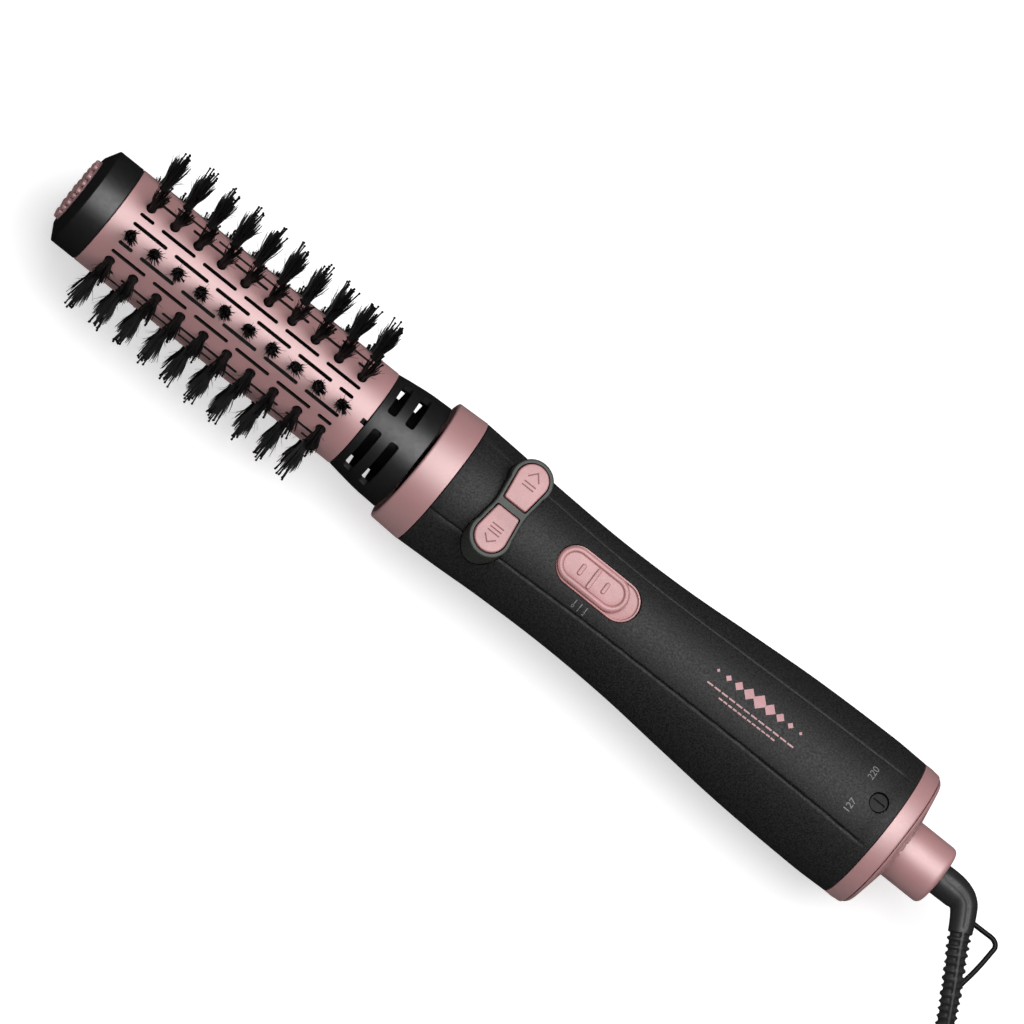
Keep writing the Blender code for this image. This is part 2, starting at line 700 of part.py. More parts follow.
def make_heater():
    """A crossed mica former in a sleeve, wound with the resistance coil, and the thermostat."""
    former = tube("heater_former", 144.0, 181.0, 4.2, 2.2, 16, MICA)
    for index in range(4):
        angle = math.radians(45.0 + 90.0 * index)
        side = Vector((math.cos(angle), math.sin(angle)))
        across = Vector((-side.y, side.x)) * 0.4
        corners = [side * 3.4 - across, side * 12.2 - across, side * 12.2 + across, side * 3.4 + across]
        join(former, long_prism(f"former_fin_{index}", [tuple(c) for c in corners], 145.0, 180.0, None))
    turns = 6
    steps = 10
    helix = []
    for step in range(turns * steps + 1):
        y, z = around(13.9, 360.0 * step / steps)
        helix.append(spot(147.0 + 31.0 * step / (turns * steps), y, z))
    coil = wire("heater_coil", helix, 0.45, STEEL, 0)
    sleeve = tube("heater_sleeve", 143.6, 181.4, 16.1, 15.3, 24, MICA)
    thermostat = box("thermostat", (169.0, 176.0), (-3.0, 3.0), (6.0, 9.5), INNER_PLASTIC)
    return former, coil, sleeve, thermostat


def make_power_unit():
    """Gear motor, main board and ion module."""
    motor = lathe("drive_motor", (
        (194.8, 1.4), (194.8, 9.5), (224.0, 9.5), (224.0, 0.0), (200.5, 0.0), (200.5, 1.4),
    ), 20, STEEL)
    board = box("circuit_board", (186.0, 228.0), (-11.0, 11.0), (11.7, 12.9), BOARD)
    ion = box("ion_module", (254.0, 276.0), (-7.0, 7.0), (-18.5, -12.5), INNER_PLASTIC)
    return motor, board, ion


def make_fan():
    """The air fan at the tail: motor, bladed wheel and shroud."""
    motor = lathe("fan_motor", (
        (252.0, 0.0), (252.0, 11.0), (280.0, 11.0), (280.0, 1.6), (277.0, 1.6), (277.0, 0.0),
    ), 20, STEEL)
    wheel = tube("impeller", 284.0, 295.0, 6.5, 0, 16, INNER_PLASTIC)
    join(wheel, tube("impeller_shaft", 278.0, 290.0, 1.2, 0, 10, None))
    blades = 7
    for index in range(blades):
        start = 360.0 * index / blades
        lean = 22.0
        corners = [around(5.5, start - 5), around(20.0, start + lean - 2),
                   around(20.0, start + lean + 2), around(5.5, start + 5)]
        join(wheel, long_prism(f"blade_{index}", corners, 285.5, 293.5, None))
    shroud = tube("fan_shroud", 281.0, 299.0, 22.3, 20.9, 28, INNER_PLASTIC)
    return motor, wheel, shroud


def make_tail():
    """Rear ring, slotted intake cone and the collar that the cord boot turns in."""
    ring = lathe("rear_ring", (
        (315.3, 25.15), (318.0, 25.2), (321.2, 24.85), (321.2, 22.8), (315.3, 22.8),
    ), 28, ROSE)
    grille = lathe("intake_grille", (
        (321.5, 24.6), (322.6, 23.4), (325.2, 11.6), (325.2, 10.7), (323.4, 10.7),
        (321.0, 21.0), (317.0, 21.0), (317.0, 22.5), (321.5, 22.5),
    ), 28, ROSE)
    slots = 14
    for index in range(slots):
        outward = Vector(around(1.0, 360.0 / slots * (index + 0.5)))
        across = Vector((-outward.y, outward.x)) * 0.8
        corners = [outward * 12.6 - across, outward * 20.4 - across, outward * 20.4 + across,
                   outward * 12.6 + across]
        cut(grille, long_prism(f"intake_slot_{index}", [tuple(c) for c in corners], 318.0, 330.0, None))
    round_end = [(TAIL_STATION - 2.5 + 2.5 * math.sin(math.radians(turn)),
                  7.85 + 2.5 * math.cos(math.radians(turn))) for turn in (0, 45, 90)]
    collar = lathe("swivel_collar", (
        (318.0, 10.35), *round_end, (TAIL_STATION, 5.7), (330.0, 5.7), (330.0, 8.6), (318.0, 8.6),
    ), 20, ROSE)
    return ring, grille, collar


# ---------------------------------------------------------------- cord

BOOT_ROUTE = (
    (-160.0, 0.0, AXIS_Z), (-170.8, 0.0, AXIS_Z), (-177.4, 0.0, AXIS_Z), (-182.0, 1.2, 31.8),
    (-185.2, 4.5, 31.5), (-190.2, 12.9, 30.3), (-198.0, 25.7, 27.0), (-207.2, 41.2, 21.5),
)
BOOT_RADII = (5.3, 5.3, 5.2, 4.6, 4.15, 3.75, 3.5, 3.3)
CORD_ROUTE = (
    (-207.2, 41.2, 21.5), (-219.5, 57.6, 14.0), (-236.3, 72.0, 7.4), (-254.0, 80.8, 4.6),
)
LOOP_ROUTE = (
    (-191.6, 4.3, 31.3), (-195.0, 4.2, 31.2), (-198.1, 4.2, 31.1), (-199.9, 6.1, 30.9),
    (-199.8, 12.0, 30.0), (-199.5, 16.0, 29.4), (-199.4, 18.6, 29.0),
)
PLUG_REAR = (-285.0, 13.0, 25.9)
LEAD_START = (-300.0, 18.6, 22.4)


def metres(route):
    return [Vector(point) * MM for point in route]


def make_boot():
    """The tapered boot with its flange inside the collar, and the wire loop for hanging."""
    steps = 3
    points = smooth_route(metres(BOOT_ROUTE), steps)
    sizes = []
    for index in range(len(points)):
        whole, part = divmod(index, steps)
        following = min(whole + 1, len(BOOT_RADII) - 1)
        radius = BOOT_RADII[whole] + (BOOT_RADII[following] - BOOT_RADII[whole]) * part / steps
        sizes.append(radius / BOOT_RADII[0])
    boot = wire("cord_boot", points, BOOT_RADII[0], RUBBER, 3, sizes)
    loop = wire("hang_loop", smooth_route(metres(LOOP_ROUTE), 2), 0.7, GLOSS_BLACK, 1)
    return boot, loop


def make_cord():
    """The free cord down to the floor, its coil and the plug that lies on the coil."""
    reach = COIL_OUTER + GAP + CORD_DIAMETER / 2
    centre = Vector((*COIL_CENTRE, 0.0)) * MM
    points = [point for point in smooth_route(metres(CORD_ROUTE), 4)
              if Vector((point.x - centre.x, point.y - centre.y)).length > reach * MM]
    points[0] = points[0] + (points[1] - points[0]).normalized() * GAP * MM
    cord = wire("cord", points, CORD_DIAMETER / 2, RUBBER, 2)
    coil = lathe("cord_coil", (
        (COIL_TOP, COIL_INNER + 3), (COIL_TOP, COIL_OUTER - 3), (COIL_TOP - 3, COIL_OUTER),
        (COIL_BOTTOM + 3, COIL_OUTER), (COIL_BOTTOM, COIL_OUTER - 3), (COIL_BOTTOM, COIL_INNER + 3),
        (COIL_BOTTOM + 3, COIL_INNER), (COIL_TOP - 3, COIL_INNER),
    ), 28, RUBBER, centre, upright=True)
    return cord, coil


def make_plug():
    """A flat two-pin plug with its strain relief, and the pins."""
    length, width, height = (size * MM for size in PLUG_SIZE)
    rear = Vector(PLUG_REAR) * MM
    bm = bmesh.new()
    bmesh.ops.create_cube(bm, size=1.0)
    bmesh.ops.scale(bm, vec=(length, width, height), verts=bm.verts)
    bmesh.ops.translate(bm, vec=rear + Vector((length / 2 + 12.0 * MM, 0, 0)), verts=bm.verts)
    long_edges = [edge for edge in bm.edges if abs(edge.verts[0].co.x - edge.verts[1].co.x) > length / 2]
    bmesh.ops.bevel(bm, geom=long_edges, offset=4.0 * MM, segments=2, profile=0.5, affect="EDGES")
    plug = add_mesh("plug", bm, GLOSS_BLACK)
    lead = smooth_route([Vector(LEAD_START) * MM, rear, rear + Vector((14.0 * MM, 0, 0))], 3)
    depsgraph = bpy.context.evaluated_depsgraph_get()
    source = wire("plug_relief_guide", lead, 3.9, RUBBER, 2, [0.8, 0.83, 0.87, 0.9, 0.95, 1.0, 1.0])
    depsgraph.update()
    mesh = bpy.data.meshes.new_from_object(source.evaluated_get(depsgraph))
    bpy.data.objects.remove(source, do_unlink=True)
    welded = bmesh.new()
    welded.from_mesh(mesh)
    bmesh.ops.remove_doubles(welded, verts=welded.verts, dist=0.00001)
    join(plug, add_mesh("plug_relief", welded, None))
    front = rear + Vector((length + 12.0 * MM, 0, 0))
    pins = []
    for index, side in enumerate((-1, 1)):
        pin_centre = Vector((0.0, front.y + side * PIN_SPACING / 2 * MM, front.z))
        tip = MIDDLE - front.x / MM - PIN_LENGTH
        seat = MIDDLE - front.x / MM + 5.0
        pins.append(tube(f"plug_pin_{index + 1}", tip, seat, PIN_RADIUS, 0, 12, BRASS, pin_centre))
        cut(plug, tube(f"pin_bore_{index + 1}", tip, seat + GAP, PIN_RADIUS + GAP, 0, 12, None, pin_centre))
    return plug, pins


def shade(thing):
    """Smooth shading with sharp edges kept."""
    if thing.type == "MESH" and thing.name not in CUTTERS.objects:
        thing.data.shade_smooth()
        thing.data.set_sharp_from_angle(angle=math.radians(35.0))


def build():
    head = pivot("head_axis", spot(MIDDLE))
    hang_on(head, make_barrel(), *[make_bristle_row(row) for row in range(ROW_COUNT)])
    hang_on(head, *make_tip(), *make_neck(), *make_hub_and_shaft())
    sun, carrier, planets, _housing = make_gearbox()
    hang_on(head, carrier)
    hang_on(pivot("sun_axis", spot(GEAR_FRONT)), sun)
    for index, angle in enumerate(PLANET_ANGLES):
        y, z = around(PLANET_ORBIT, angle)
        hang_on(pivot(f"planet_axis_{index + 1}", spot(GEAR_FRONT, y, z)), planets[index])
    make_handle()
    make_front_ring()
    make_heater()
    make_power_unit()
    _bezel, buttons, _switches, _board = make_pod()
    for index, side in enumerate((-1, 1)):
        place = spot(POD_STATION, side * POD_LOBE_OFFSET, POD_TOP)
        hang_on(pivot(f"button_axis_{index + 1}", place), buttons[index])
    _tray, knob, _switch = make_slider()
    hang_on(pivot("slider_axis", spot(SLIDER_STATION - SLIDER_REST_OFFSET, 0.0, 21.0)), knob)
    dial, _voltage_switch = make_dial()
    hang_on(pivot("dial_axis", spot(DIAL_STATION, 0.0, 25.0)), dial)
    _motor, wheel, _shroud = make_fan()
    hang_on(pivot("fan_axis", spot(290.0)), wheel)
    make_tail()
    boot, loop = make_boot()
    cord, coil = make_cord()
    plug, pins = make_plug()
    hang_on(pivot("swivel_axis", spot(TAIL_STATION)), boot, loop, cord, coil, plug, *pins)
    for thing in PARTS.objects:
        shade(thing)


build()
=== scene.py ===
"""The looks of a rotating hot air brush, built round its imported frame.

Dimensions are in millimetres and become metres when a mesh is made.  A station is a distance from
the front edge of the tip cap towards the tail; heights and widths are measured from the brush axis.
Angles around the brush start at the top and turn right-handed about +X.
"""

import json
import math
import random

import bmesh
import bpy
from mathutils import Matrix, Vector


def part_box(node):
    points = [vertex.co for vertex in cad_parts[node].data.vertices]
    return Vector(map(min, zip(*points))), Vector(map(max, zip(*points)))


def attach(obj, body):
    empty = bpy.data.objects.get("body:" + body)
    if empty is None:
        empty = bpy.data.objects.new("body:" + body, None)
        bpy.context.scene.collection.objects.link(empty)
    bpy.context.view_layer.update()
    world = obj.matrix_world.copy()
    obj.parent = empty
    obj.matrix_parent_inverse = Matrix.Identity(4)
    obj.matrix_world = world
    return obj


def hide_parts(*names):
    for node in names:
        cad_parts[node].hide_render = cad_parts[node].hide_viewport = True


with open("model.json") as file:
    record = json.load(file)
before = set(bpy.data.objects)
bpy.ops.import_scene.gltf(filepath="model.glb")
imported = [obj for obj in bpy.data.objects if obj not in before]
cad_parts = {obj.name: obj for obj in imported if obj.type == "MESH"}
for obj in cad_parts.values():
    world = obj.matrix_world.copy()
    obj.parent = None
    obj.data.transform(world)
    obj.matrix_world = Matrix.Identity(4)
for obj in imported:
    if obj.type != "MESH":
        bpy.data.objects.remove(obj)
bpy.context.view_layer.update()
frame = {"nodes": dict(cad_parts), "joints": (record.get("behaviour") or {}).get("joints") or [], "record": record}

MM = 0.001
NOSE_STATION = -3.7
NOSE_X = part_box("tip_insert")[1][0]
AXIS_Z = {joint["name"]: joint for joint in frame["joints"]}["head_spin"]["pos_m"][2]
SMOOTH_ANGLE = math.radians(32.0)

# Brush head.
BARREL_FRONT, BARREL_REAR = 9.9, 111.0
BARREL_RADIUS, BARREL_WALL = 17.5, 1.2
ROW_COUNT, FIRST_ROW_ANGLE = 10, 18.0
TUFT_COUNT, FIRST_TUFT, TUFT_PITCH = 10, 18.0, 9.28
TUFT_HOLE_RADIUS = 1.75
FIBRE_COUNT, PIN_COUNT, HAIR_COUNT = 58, 5, 7
STEM_FOOT, STEM_TOP = 16.2, 20.8
SLOT_START, SLOT_WIDTH, SLOT_GAP = 16.2, 1.2, 3.02
LONG_SLOT, SHORT_SLOT, LONG_SLOTS = 13.3, 5.4, 5
SLOT_ANGLE = 12.0
STUD_PITCH, STUD_FIELD = 2.8, 10.2
NECK_SLOT_SPANS = ((4.5, 50.0), (-74.0, -15.5), (184.5, 230.0), (106.0, 164.5))

# Handle.
HANDLE_FRONT, HANDLE_REAR = 142.6, 315.0
HANDLE_OUTLINE = (
    (142.6, 22.6), (158.0, 21.9), (173.6, 21.0), (198.4, 20.4), (223.0, 21.05),
    (248.0, 22.9), (272.8, 24.6), (303.0, 25.45), (315.0, 25.15),
)
PANEL_OUTLINE = (
    (142.6, 13.3), (174.0, 11.7), (207.0, 10.6), (245.0, 10.8), (283.0, 11.4), (315.0, 12.1),
)
PANEL_FRONT, PANEL_REAR, PANEL_FADE, PANEL_RISE = 146.0, 308.0, 5.0, 0.8
SHELL_WALL = 2.0
SPLIT_ANGLE = 89.7
SCREW_STATION = 238.0
CONE_TEETH = 28
PRINT_HEIGHT = 0.06
FIT_GAP = 0.3

# Controls.
POD_STATION, POD_TOP = 162.1, 26.0
LOBE_OFFSET, LOBE_RADIUS, POD_WAIST = 10.95, 7.0, 5.6
BUTTON_RADIUS, BUTTON_INNER_EDGE, BUTTON_INNER_HALF = 5.3, 1.5, 4.1
ICON_WIDTH = 0.45
SLIDER_STATION, SLIDER_REST_OFFSET = 198.2, 2.1
SLIDER_WINDOW, SLIDER_KNOB = (31.0, 13.8), (26.0, 12.6)
SLIDER_FLOOR, SLIDER_STEP = 19.6, 2.1
DIAL_STATION, DIAL_RADIUS = 308.4, 3.05

# Cord.
CORD_DIAMETER, CORD_LENGTH = 6.2, 1800.0
COIL_CENTRE, COIL_FLOOR = (-273.0, 41.0), 3.5
COIL_INSIDE, COIL_OUTSIDE = 26.2, 45.8
TIE_ANGLE, TIE_WIDTH, TIE_THICKNESS = -35.0, 12.0, 0.35
COIL_WINDING = (
    (0.0, 42.4, 0.0), (0.78, 42.4, 0.0), (1.0, 36.0, 0.0), (1.78, 36.0, 0.0), (2.0, 29.6, 0.0),
    (2.62, 29.6, 0.0), (2.84, 29.6, 6.2), (3.5, 29.6, 6.2), (3.72, 36.0, 6.2), (4.5, 36.0, 6.2),
    (4.72, 42.4, 6.2), (5.32, 42.4, 6.2), (5.54, 39.2, 11.7), (6.3, 39.2, 11.7), (6.52, 32.8, 11.7),
    (6.72, 32.8, 11.7), (6.94, 32.8, 17.4), (7.0, 32.8, 17.4), (7.25, 39.2, 17.4),
)
BOOT_ROUTE = (
    (-160.0, 0.0, 31.9), (-170.8, 0.0, 31.9), (-178.6, 0.0, 31.9), (-182.8, 1.0, 31.8),
    (-185.6, 4.3, 31.5), (-190.2, 12.9, 30.3), (-198.0, 25.7, 27.0), (-207.2, 41.2, 21.5),
)
BOOT_RADII = (5.3, 5.3, 5.2, 4.6, 4.15, 3.75, 3.5, 3.3)
RIB_PITCH, LOOP_WIRE_RADIUS = 2.45, 0.85
CORD_ROUTE = ((-207.2, 41.2, 21.5), (-219.5, 57.6, 14.0), (-236.3, 72.0, 7.4), (-254.0, 80.8, 4.4))
LOOP_ROUTE = (
    (-186.6, 4.3, 31.2), (-193.5, 4.2, 31.2), (-197.6, 4.2, 31.1), (-199.6, 5.6, 30.9),
    (-199.7, 8.5, 30.6), (-199.3, 15.0, 29.6), (-198.3, 22.0, 28.4),
)
PLUG_REAR = (-285.0, 13.0, 25.9)
PLUG_LENGTH = 38.0
PIN_SPACING, PIN_RADIUS, PIN_LENGTH = 19.0, 2.0, 19.0


# ---------------------------------------------------------------- places and outlines

def along(station):
    return NOSE_X - (station - NOSE_STATION) * MM


def spot(station, y=0.0, z=0.0):
    """A point in metres from a station and distances from the brush axis."""
    return Vector((along(station), y * MM, AXIS_Z + z * MM))


def around(radius, angle):
    """The (y, z) point at an angle around the brush axis."""
    turn = math.radians(angle)
    return (-radius * math.sin(turn), radius * math.cos(turn))


def directions(angle):
    """The unit vectors outwards and sideways at an angle around the brush axis."""
    return Vector((0.0, *around(1.0, angle))), Vector((0.0, *around(1.0, angle + 90.0)))


def smooth_step(value):
    value = min(max(value, 0.0), 1.0)
    return value * value * (3.0 - 2.0 * value)


def smooth_value(table, position):
    """A cubic curve through a table of (position, value) points."""
    for index in range(len(table) - 1):
        if position <= table[index + 1][0] or index == len(table) - 2:
            break
    (x0, y0), (x1, y1) = table[index], table[index + 1]
    before = table[max(index - 1, 0)]
    after = table[min(index + 2, len(table) - 1)]
    slope_in = (y1 - before[1]) / (x1 - before[0])
    slope_out = (after[1] - y0) / (after[0] - x0)
    width = x1 - x0
    t = (position - x0) / width
    return ((2 * t**3 - 3 * t**2 + 1) * y0 + (t**3 - 2 * t**2 + t) * width * slope_in
            + (3 * t**2 - 2 * t**3) * y1 + (t**3 - t**2) * width * slope_out)


def smooth_route(points, steps):
    """A smooth curve through a route in millimetres, with some steps between two of its points."""
    route = [Vector(point) for point in points]
    padded = [2 * route[0] - route[1]] + route + [2 * route[-1] - route[-2]]
    result = []
    for a, b, c, d in zip(padded, padded[1:], padded[2:], padded[3:]):
        for step in range(steps):
            t = step / steps
            result.append(0.5 * (2 * b + (c - a) * t + (2 * a - 5 * b + 4 * c - d) * t * t
                                 + (3 * b - a - 3 * c + d) * t**3))
    result.append(route[-1])
    return result


def metres(route):
    return [Vector(point) * MM for point in route]


def arc(centre, radius, start, end, count):
    points = []
    for index in range(count + 1):
        angle = math.radians(start + (end - start) * index / count)
        points.append((centre[0] + radius * math.cos(angle), centre[1] + radius * math.sin(angle)))
    return points


def circle(centre, radius, count):
    return arc(centre, radius, 0.0, 360.0 - 360.0 / count, count - 1)


def stadium(centre, length, width, count=16):
    """A slot-shaped outline whose long side lies along the first axis."""
    radius = width / 2
    reach = length / 2 - radius
    return (arc((centre[0] + reach, centre[1]), radius, -90.0, 90.0, count)
            + arc((centre[0] - reach, centre[1]), radius, 90.0, 270.0, count))


def rounded_box(centre, length, width, radius, count=6):
    outline = []
    for i, j, start in ((1, 1, 0), (-1, 1, 90), (-1, -1, 180), (1, -1, 270)):
        corner = (centre[0] + i * (length / 2 - radius), centre[1] + j * (width / 2 - radius))
        outline += arc(corner, radius, start, start + 90.0, count)
    return outline


def filleted(profile, count=5):
    """Round the corners of a closed profile of (u, v, fillet) points."""
    result = []
    size = len(profile)
    for index, (u, v, fillet) in enumerate(profile):
        corner = Vector((u, v))
        if fillet == 0:
            result.append((u, v))
            continue
        before = Vector(profile[index - 1][:2]) - corner
        after = Vector(profile[(index + 1) % size][:2]) - corner
        half = before.angle(after) / 2
        reach = min(fillet / math.tan(half), 0.48 * before.length, 0.48 * after.length)
        start = corner + before.normalized() * reach
        end = corner + after.normalized() * reach
        for step in range(count + 1):
            t = step / count
            point = start * (1 - t) ** 2 + corner * 2 * t * (1 - t) + end * t * t
            result.append(tuple(point))
    return result


def inset(outline, distance):
    """Move a closed outline inwards, whichever way it turns."""
    size = len(outline)
    area = sum(outline[i - 1][0] * outline[i][1] - outline[i][0] * outline[i - 1][1] for i in range(size))
    turn = 1.0 if area > 0 else -1.0
    result = []
    for index in range(size):
        here = Vector(outline[index])
        into = (here - Vector(outline[index - 1])).normalized()
        out = (Vector(outline[(index + 1) % size]) - here).normalized()
        middle = into + out
        normal = Vector((-middle.y, middle.x)).normalized() * turn
        stretch = 1.0 / max(middle.length / 2, 0.6)
        result.append(tuple(here + normal * distance * stretch))
    return result


# ---------------------------------------------------------------- meshes

def add_object(name, data):
    thing = bpy.data.objects.new(name, data)
    bpy.context.scene.collection.objects.link(thing)
    return thing


def applied(thing):
    """The mesh of an object as its modifiers or its curve leave it."""
    return bpy.data.meshes.new_from_object(thing.evaluated_get(bpy.context.evaluated_depsgraph_get()))


def make_object(name, bm, finish):
    bmesh.ops.recalc_face_normals(bm, faces=bm.faces)
    mesh = bpy.data.meshes.new(name)
    bm.to_mesh(mesh)
    bm.free()
    thing = add_object(name, mesh)
    if finish:
        mesh.materials.append(finish)
    return thing


def shade(thing, angle=SMOOTH_ANGLE):
    thing.data.shade_smooth()
    thing.data.set_sharp_from_angle(angle=angle)
    return thing


def put_back(thing, bm):
    """Return an edited mesh to its object."""
    bmesh.ops.recalc_face_normals(bm, faces=bm.faces)
    bm.to_mesh(thing.data)
    bm.free()
    shade(thing)


def loft(bm, rings, caps=True, closed=False):
    """Join rings of points with equal counts; a ring of one point is a pole. Returns their vertices."""
    verts = [[bm.verts.new(point) for point in ring] for ring in rings]
    pairs = list(zip(verts, verts[1:]))
    if closed:
        pairs.append((verts[-1], verts[0]))
    for lower, upper in pairs:
        count = max(len(lower), len(upper))
        for index in range(count):
            after = (index + 1) % count
            if len(lower) == 1:
                bm.faces.new((lower[0], upper[after], upper[index]))
            elif len(upper) == 1:
                bm.faces.new((lower[index], lower[after], upper[0]))
            else:
                bm.faces.new((lower[index], lower[after], upper[after], upper[index]))
    if caps and not closed:
        for end in (verts[0], verts[-1]):
            if len(end) > 2:
                bm.faces.new(end)
    return verts


def turned(name, profile, finish, segments=144):
    """Turn a closed profile of (station, radius, fillet) points about the brush axis."""
    points = filleted(profile)
    bm = bmesh.new()
    rings = []
    for station, radius in points:
        if radius < 0.001:
            rings.append([spot(station)])
        else:
            rings.append([spot(station, *around(radius, 360.0 * i / segments)) for i in range(segments)])
    loft(bm, rings, caps=False, closed=len(rings[0]) > 1)
    return shade(make_object(name, bm, finish))


def layered(bm, outline, layers):
    """A solid of stacked copies of an outline; layers are (inset, height) from bottom to top."""
    loft(bm, [[spot(u, v, height) for u, v in inset(outline, distance)] for distance, height in layers])


def raised(name, outline, layers, finish):
    """A layered solid that stands on the handle; its outline is in stations and widths."""
    bm = bmesh.new()
    layered(bm, outline, layers)
    return shade(make_object(name, bm, finish))


def round_top(low, high, radius, steps=5):
    """Layers of a wall with a rounded upper edge."""
    layers = [(0.0, low)]
    for step in range(steps + 1):
        turn = math.pi / 2 * step / steps
        layers.append((radius * (1 - math.cos(turn)), high - radius + radius * math.sin(turn)))
    return layers


def wrapped(bm, outline, angle, inner, outer):
    """A radial plug whose outline is in stations and arc lengths on the barrel."""
    def on_barrel(station, width, radius):
        return spot(station, *around(radius, angle + math.degrees(width / BARREL_RADIUS)))

    loft(bm, [[on_barrel(u, v, radius) for u, v in outline] for radius in (inner, outer)])


def cut(target, cutter):
    """Take one shape out of another and apply it."""
    modifier = target.modifiers.new("cut", "BOOLEAN")
    modifier.operation = "DIFFERENCE"
    modifier.solver = "EXACT"
    modifier.object = cutter
    mesh = applied(target)
    target.modifiers.clear()
    target.data = mesh
    bpy.data.objects.remove(cutter, do_unlink=True)
    return shade(target)


def prism(outline, low, high, point_at):
    """A plain cutter between two levels; point_at(u, v, level) gives its corners."""
    bm = bmesh.new()
    loft(bm, [[point_at(u, v, level) for u, v in outline] for level in (low, high)])
    return make_object("cutter", bm, None)


def upright_cutter(outline, low, high):
    return prism(outline, low, high, spot)


def swept(bm, points, radius_at, sides):
    """A tube along points in metres; radius_at(index, angle) is in millimetres."""
    rings = []
    side = None
    for index, point in enumerate(points):
        ahead = points[min(index + 1, len(points) - 1)] - points[max(index - 1, 0)]
        ahead.normalize()
        if side is None:
            side = ahead.cross(Vector((0, 0, 1))).normalized()
        side = (side - ahead * side.dot(ahead)).normalized()
        top = side.cross(ahead)
        ring = []
        for step in range(sides):
            angle = 2 * math.pi * step / sides
            radius = radius_at(index, angle) * MM
            ring.append(point + (top * math.cos(angle) + side * math.sin(angle)) * radius)
        rings.append(ring)
    loft(bm, rings)


# ---------------------------------------------------------------- materials

def set_inputs(node, values):
    for socket, value in values.items():
        node.inputs[socket].default_value = value


def material(name, colour, roughness, metallic=0.0, coat=0.0, specular=0.5):
    made = bpy.data.materials.new(name)
    made.use_nodes = True
    set_inputs(made.node_tree.nodes["Principled BSDF"], {
        "Base Color": (*colour, 1.0), "Roughness": roughness, "Metallic": metallic,
        "Coat Weight": coat, "Coat Roughness": 0.2, "Specular IOR Level": specular,
    })
    made.diffuse_color = (*colour, 1.0)
    return made


def noise(made, scale, detail=3.0):
    """A noise texture in metres."""
    nodes, links = made.node_tree.nodes, made.node_tree.links
    texture = nodes.new("ShaderNodeTexNoise")
    set_inputs(texture, {"Scale": scale, "Detail": detail})
    links.new(nodes.new("ShaderNodeTexCoord").outputs["Object"], texture.inputs["Vector"])
    return texture


def vary_roughness(made, texture, low, high):
    nodes, links = made.node_tree.nodes, made.node_tree.links
    spread = nodes.new("ShaderNodeMapRange")
    set_inputs(spread, {"From Min": 0.3, "From Max": 0.7, "To Min": low, "To Max": high})
    links.new(texture.outputs["Fac"], spread.inputs["Value"])
    links.new(spread.outputs["Result"], nodes["Principled BSDF"].inputs["Roughness"])


def vary_colour(made, texture, dark, light):
    nodes, links = made.node_tree.nodes, made.node_tree.links
    ramp = nodes.new("ShaderNodeValToRGB")
    ramp.color_ramp.elements[0].position = 0.35
    ramp.color_ramp.elements[0].color = (*dark, 1.0)
    ramp.color_ramp.elements[1].position = 0.65
    ramp.color_ramp.elements[1].color = (*light, 1.0)
    links.new(texture.outputs["Fac"], ramp.inputs["Fac"])
    links.new(ramp.outputs["Color"], nodes["Principled BSDF"].inputs["Base Color"])


def add_bump(made, texture, strength, height):
    nodes, links = made.node_tree.nodes, made.node_tree.links
    bump = nodes.new("ShaderNodeBump")
    set_inputs(bump, {"Strength": strength, "Distance": height})
    links.new(texture.outputs["Fac"], bump.inputs["Height"])
    links.new(bump.outputs["Normal"], nodes["Principled BSDF"].inputs["Normal"])


def rose_metal():
    """Satin rose lacquer over metal, with a very fine grain."""
    made = material("rose_metal", (0.44, 0.213, 0.217), 0.54, 0.15, 1.0, 1.0)
    set_inputs(made.node_tree.nodes["Principled BSDF"], {"IOR": 1.7, "Coat Roughness": 0.48})
    grain = noise(made, 1600.0, detail=2.0)
    vary_roughness(made, grain, 0.50, 0.58)
    vary_colour(made, noise(made, 60.0), (0.43, 0.207, 0.211), (0.45, 0.219, 0.223))
    add_bump(made, grain, 0.04, 0.00002)
    return made


def soft_touch():
    """Black soft-touch plastic with a fine eroded grain."""
    made = material("soft_touch_plastic", (0.012, 0.012, 0.012), 0.6, specular=0.3)
    grain = noise(made, 1500.0, detail=2.0)
    vary_roughness(made, grain, 0.48, 0.68)
    vary_colour(made, noise(made, 1900.0, detail=1.0), (0.006, 0.006, 0.006), (0.019, 0.019, 0.019))
    add_bump(made, grain, 0.55, 0.00012)
    return made


def pale_floor():
    """A matt white sweep that glows a little, so that shadows on it stay light."""
    made = material("floor", (0.60, 0.60, 0.60), 0.8)
    set_inputs(made.node_tree.nodes["Principled BSDF"],
               {"Emission Color": (1.0, 1.0, 1.0, 1.0), "Emission Strength": 0.58})
    vary_roughness(made, noise(made, 20.0), 0.75, 0.85)
    return made


def plain_finish(name, colour, rough_low, rough_high, metallic=0.0, scale=700.0, bump=0.05, specular=0.5):
    """A moulded or machined finish with a little life in its gloss and colour."""
    made = material(name, colour, (rough_low + rough_high) / 2, metallic, specular=specular)
    texture = noise(made, scale)
    vary_roughness(made, texture, rough_low, rough_high)
    dark = tuple(channel * 0.9 for channel in colour)
    light = tuple(min(channel * 1.1, 1.0) for channel in colour)
    vary_colour(made, noise(made, scale / 8), dark, light)
    add_bump(made, texture, bump, 0.00003)
    return made


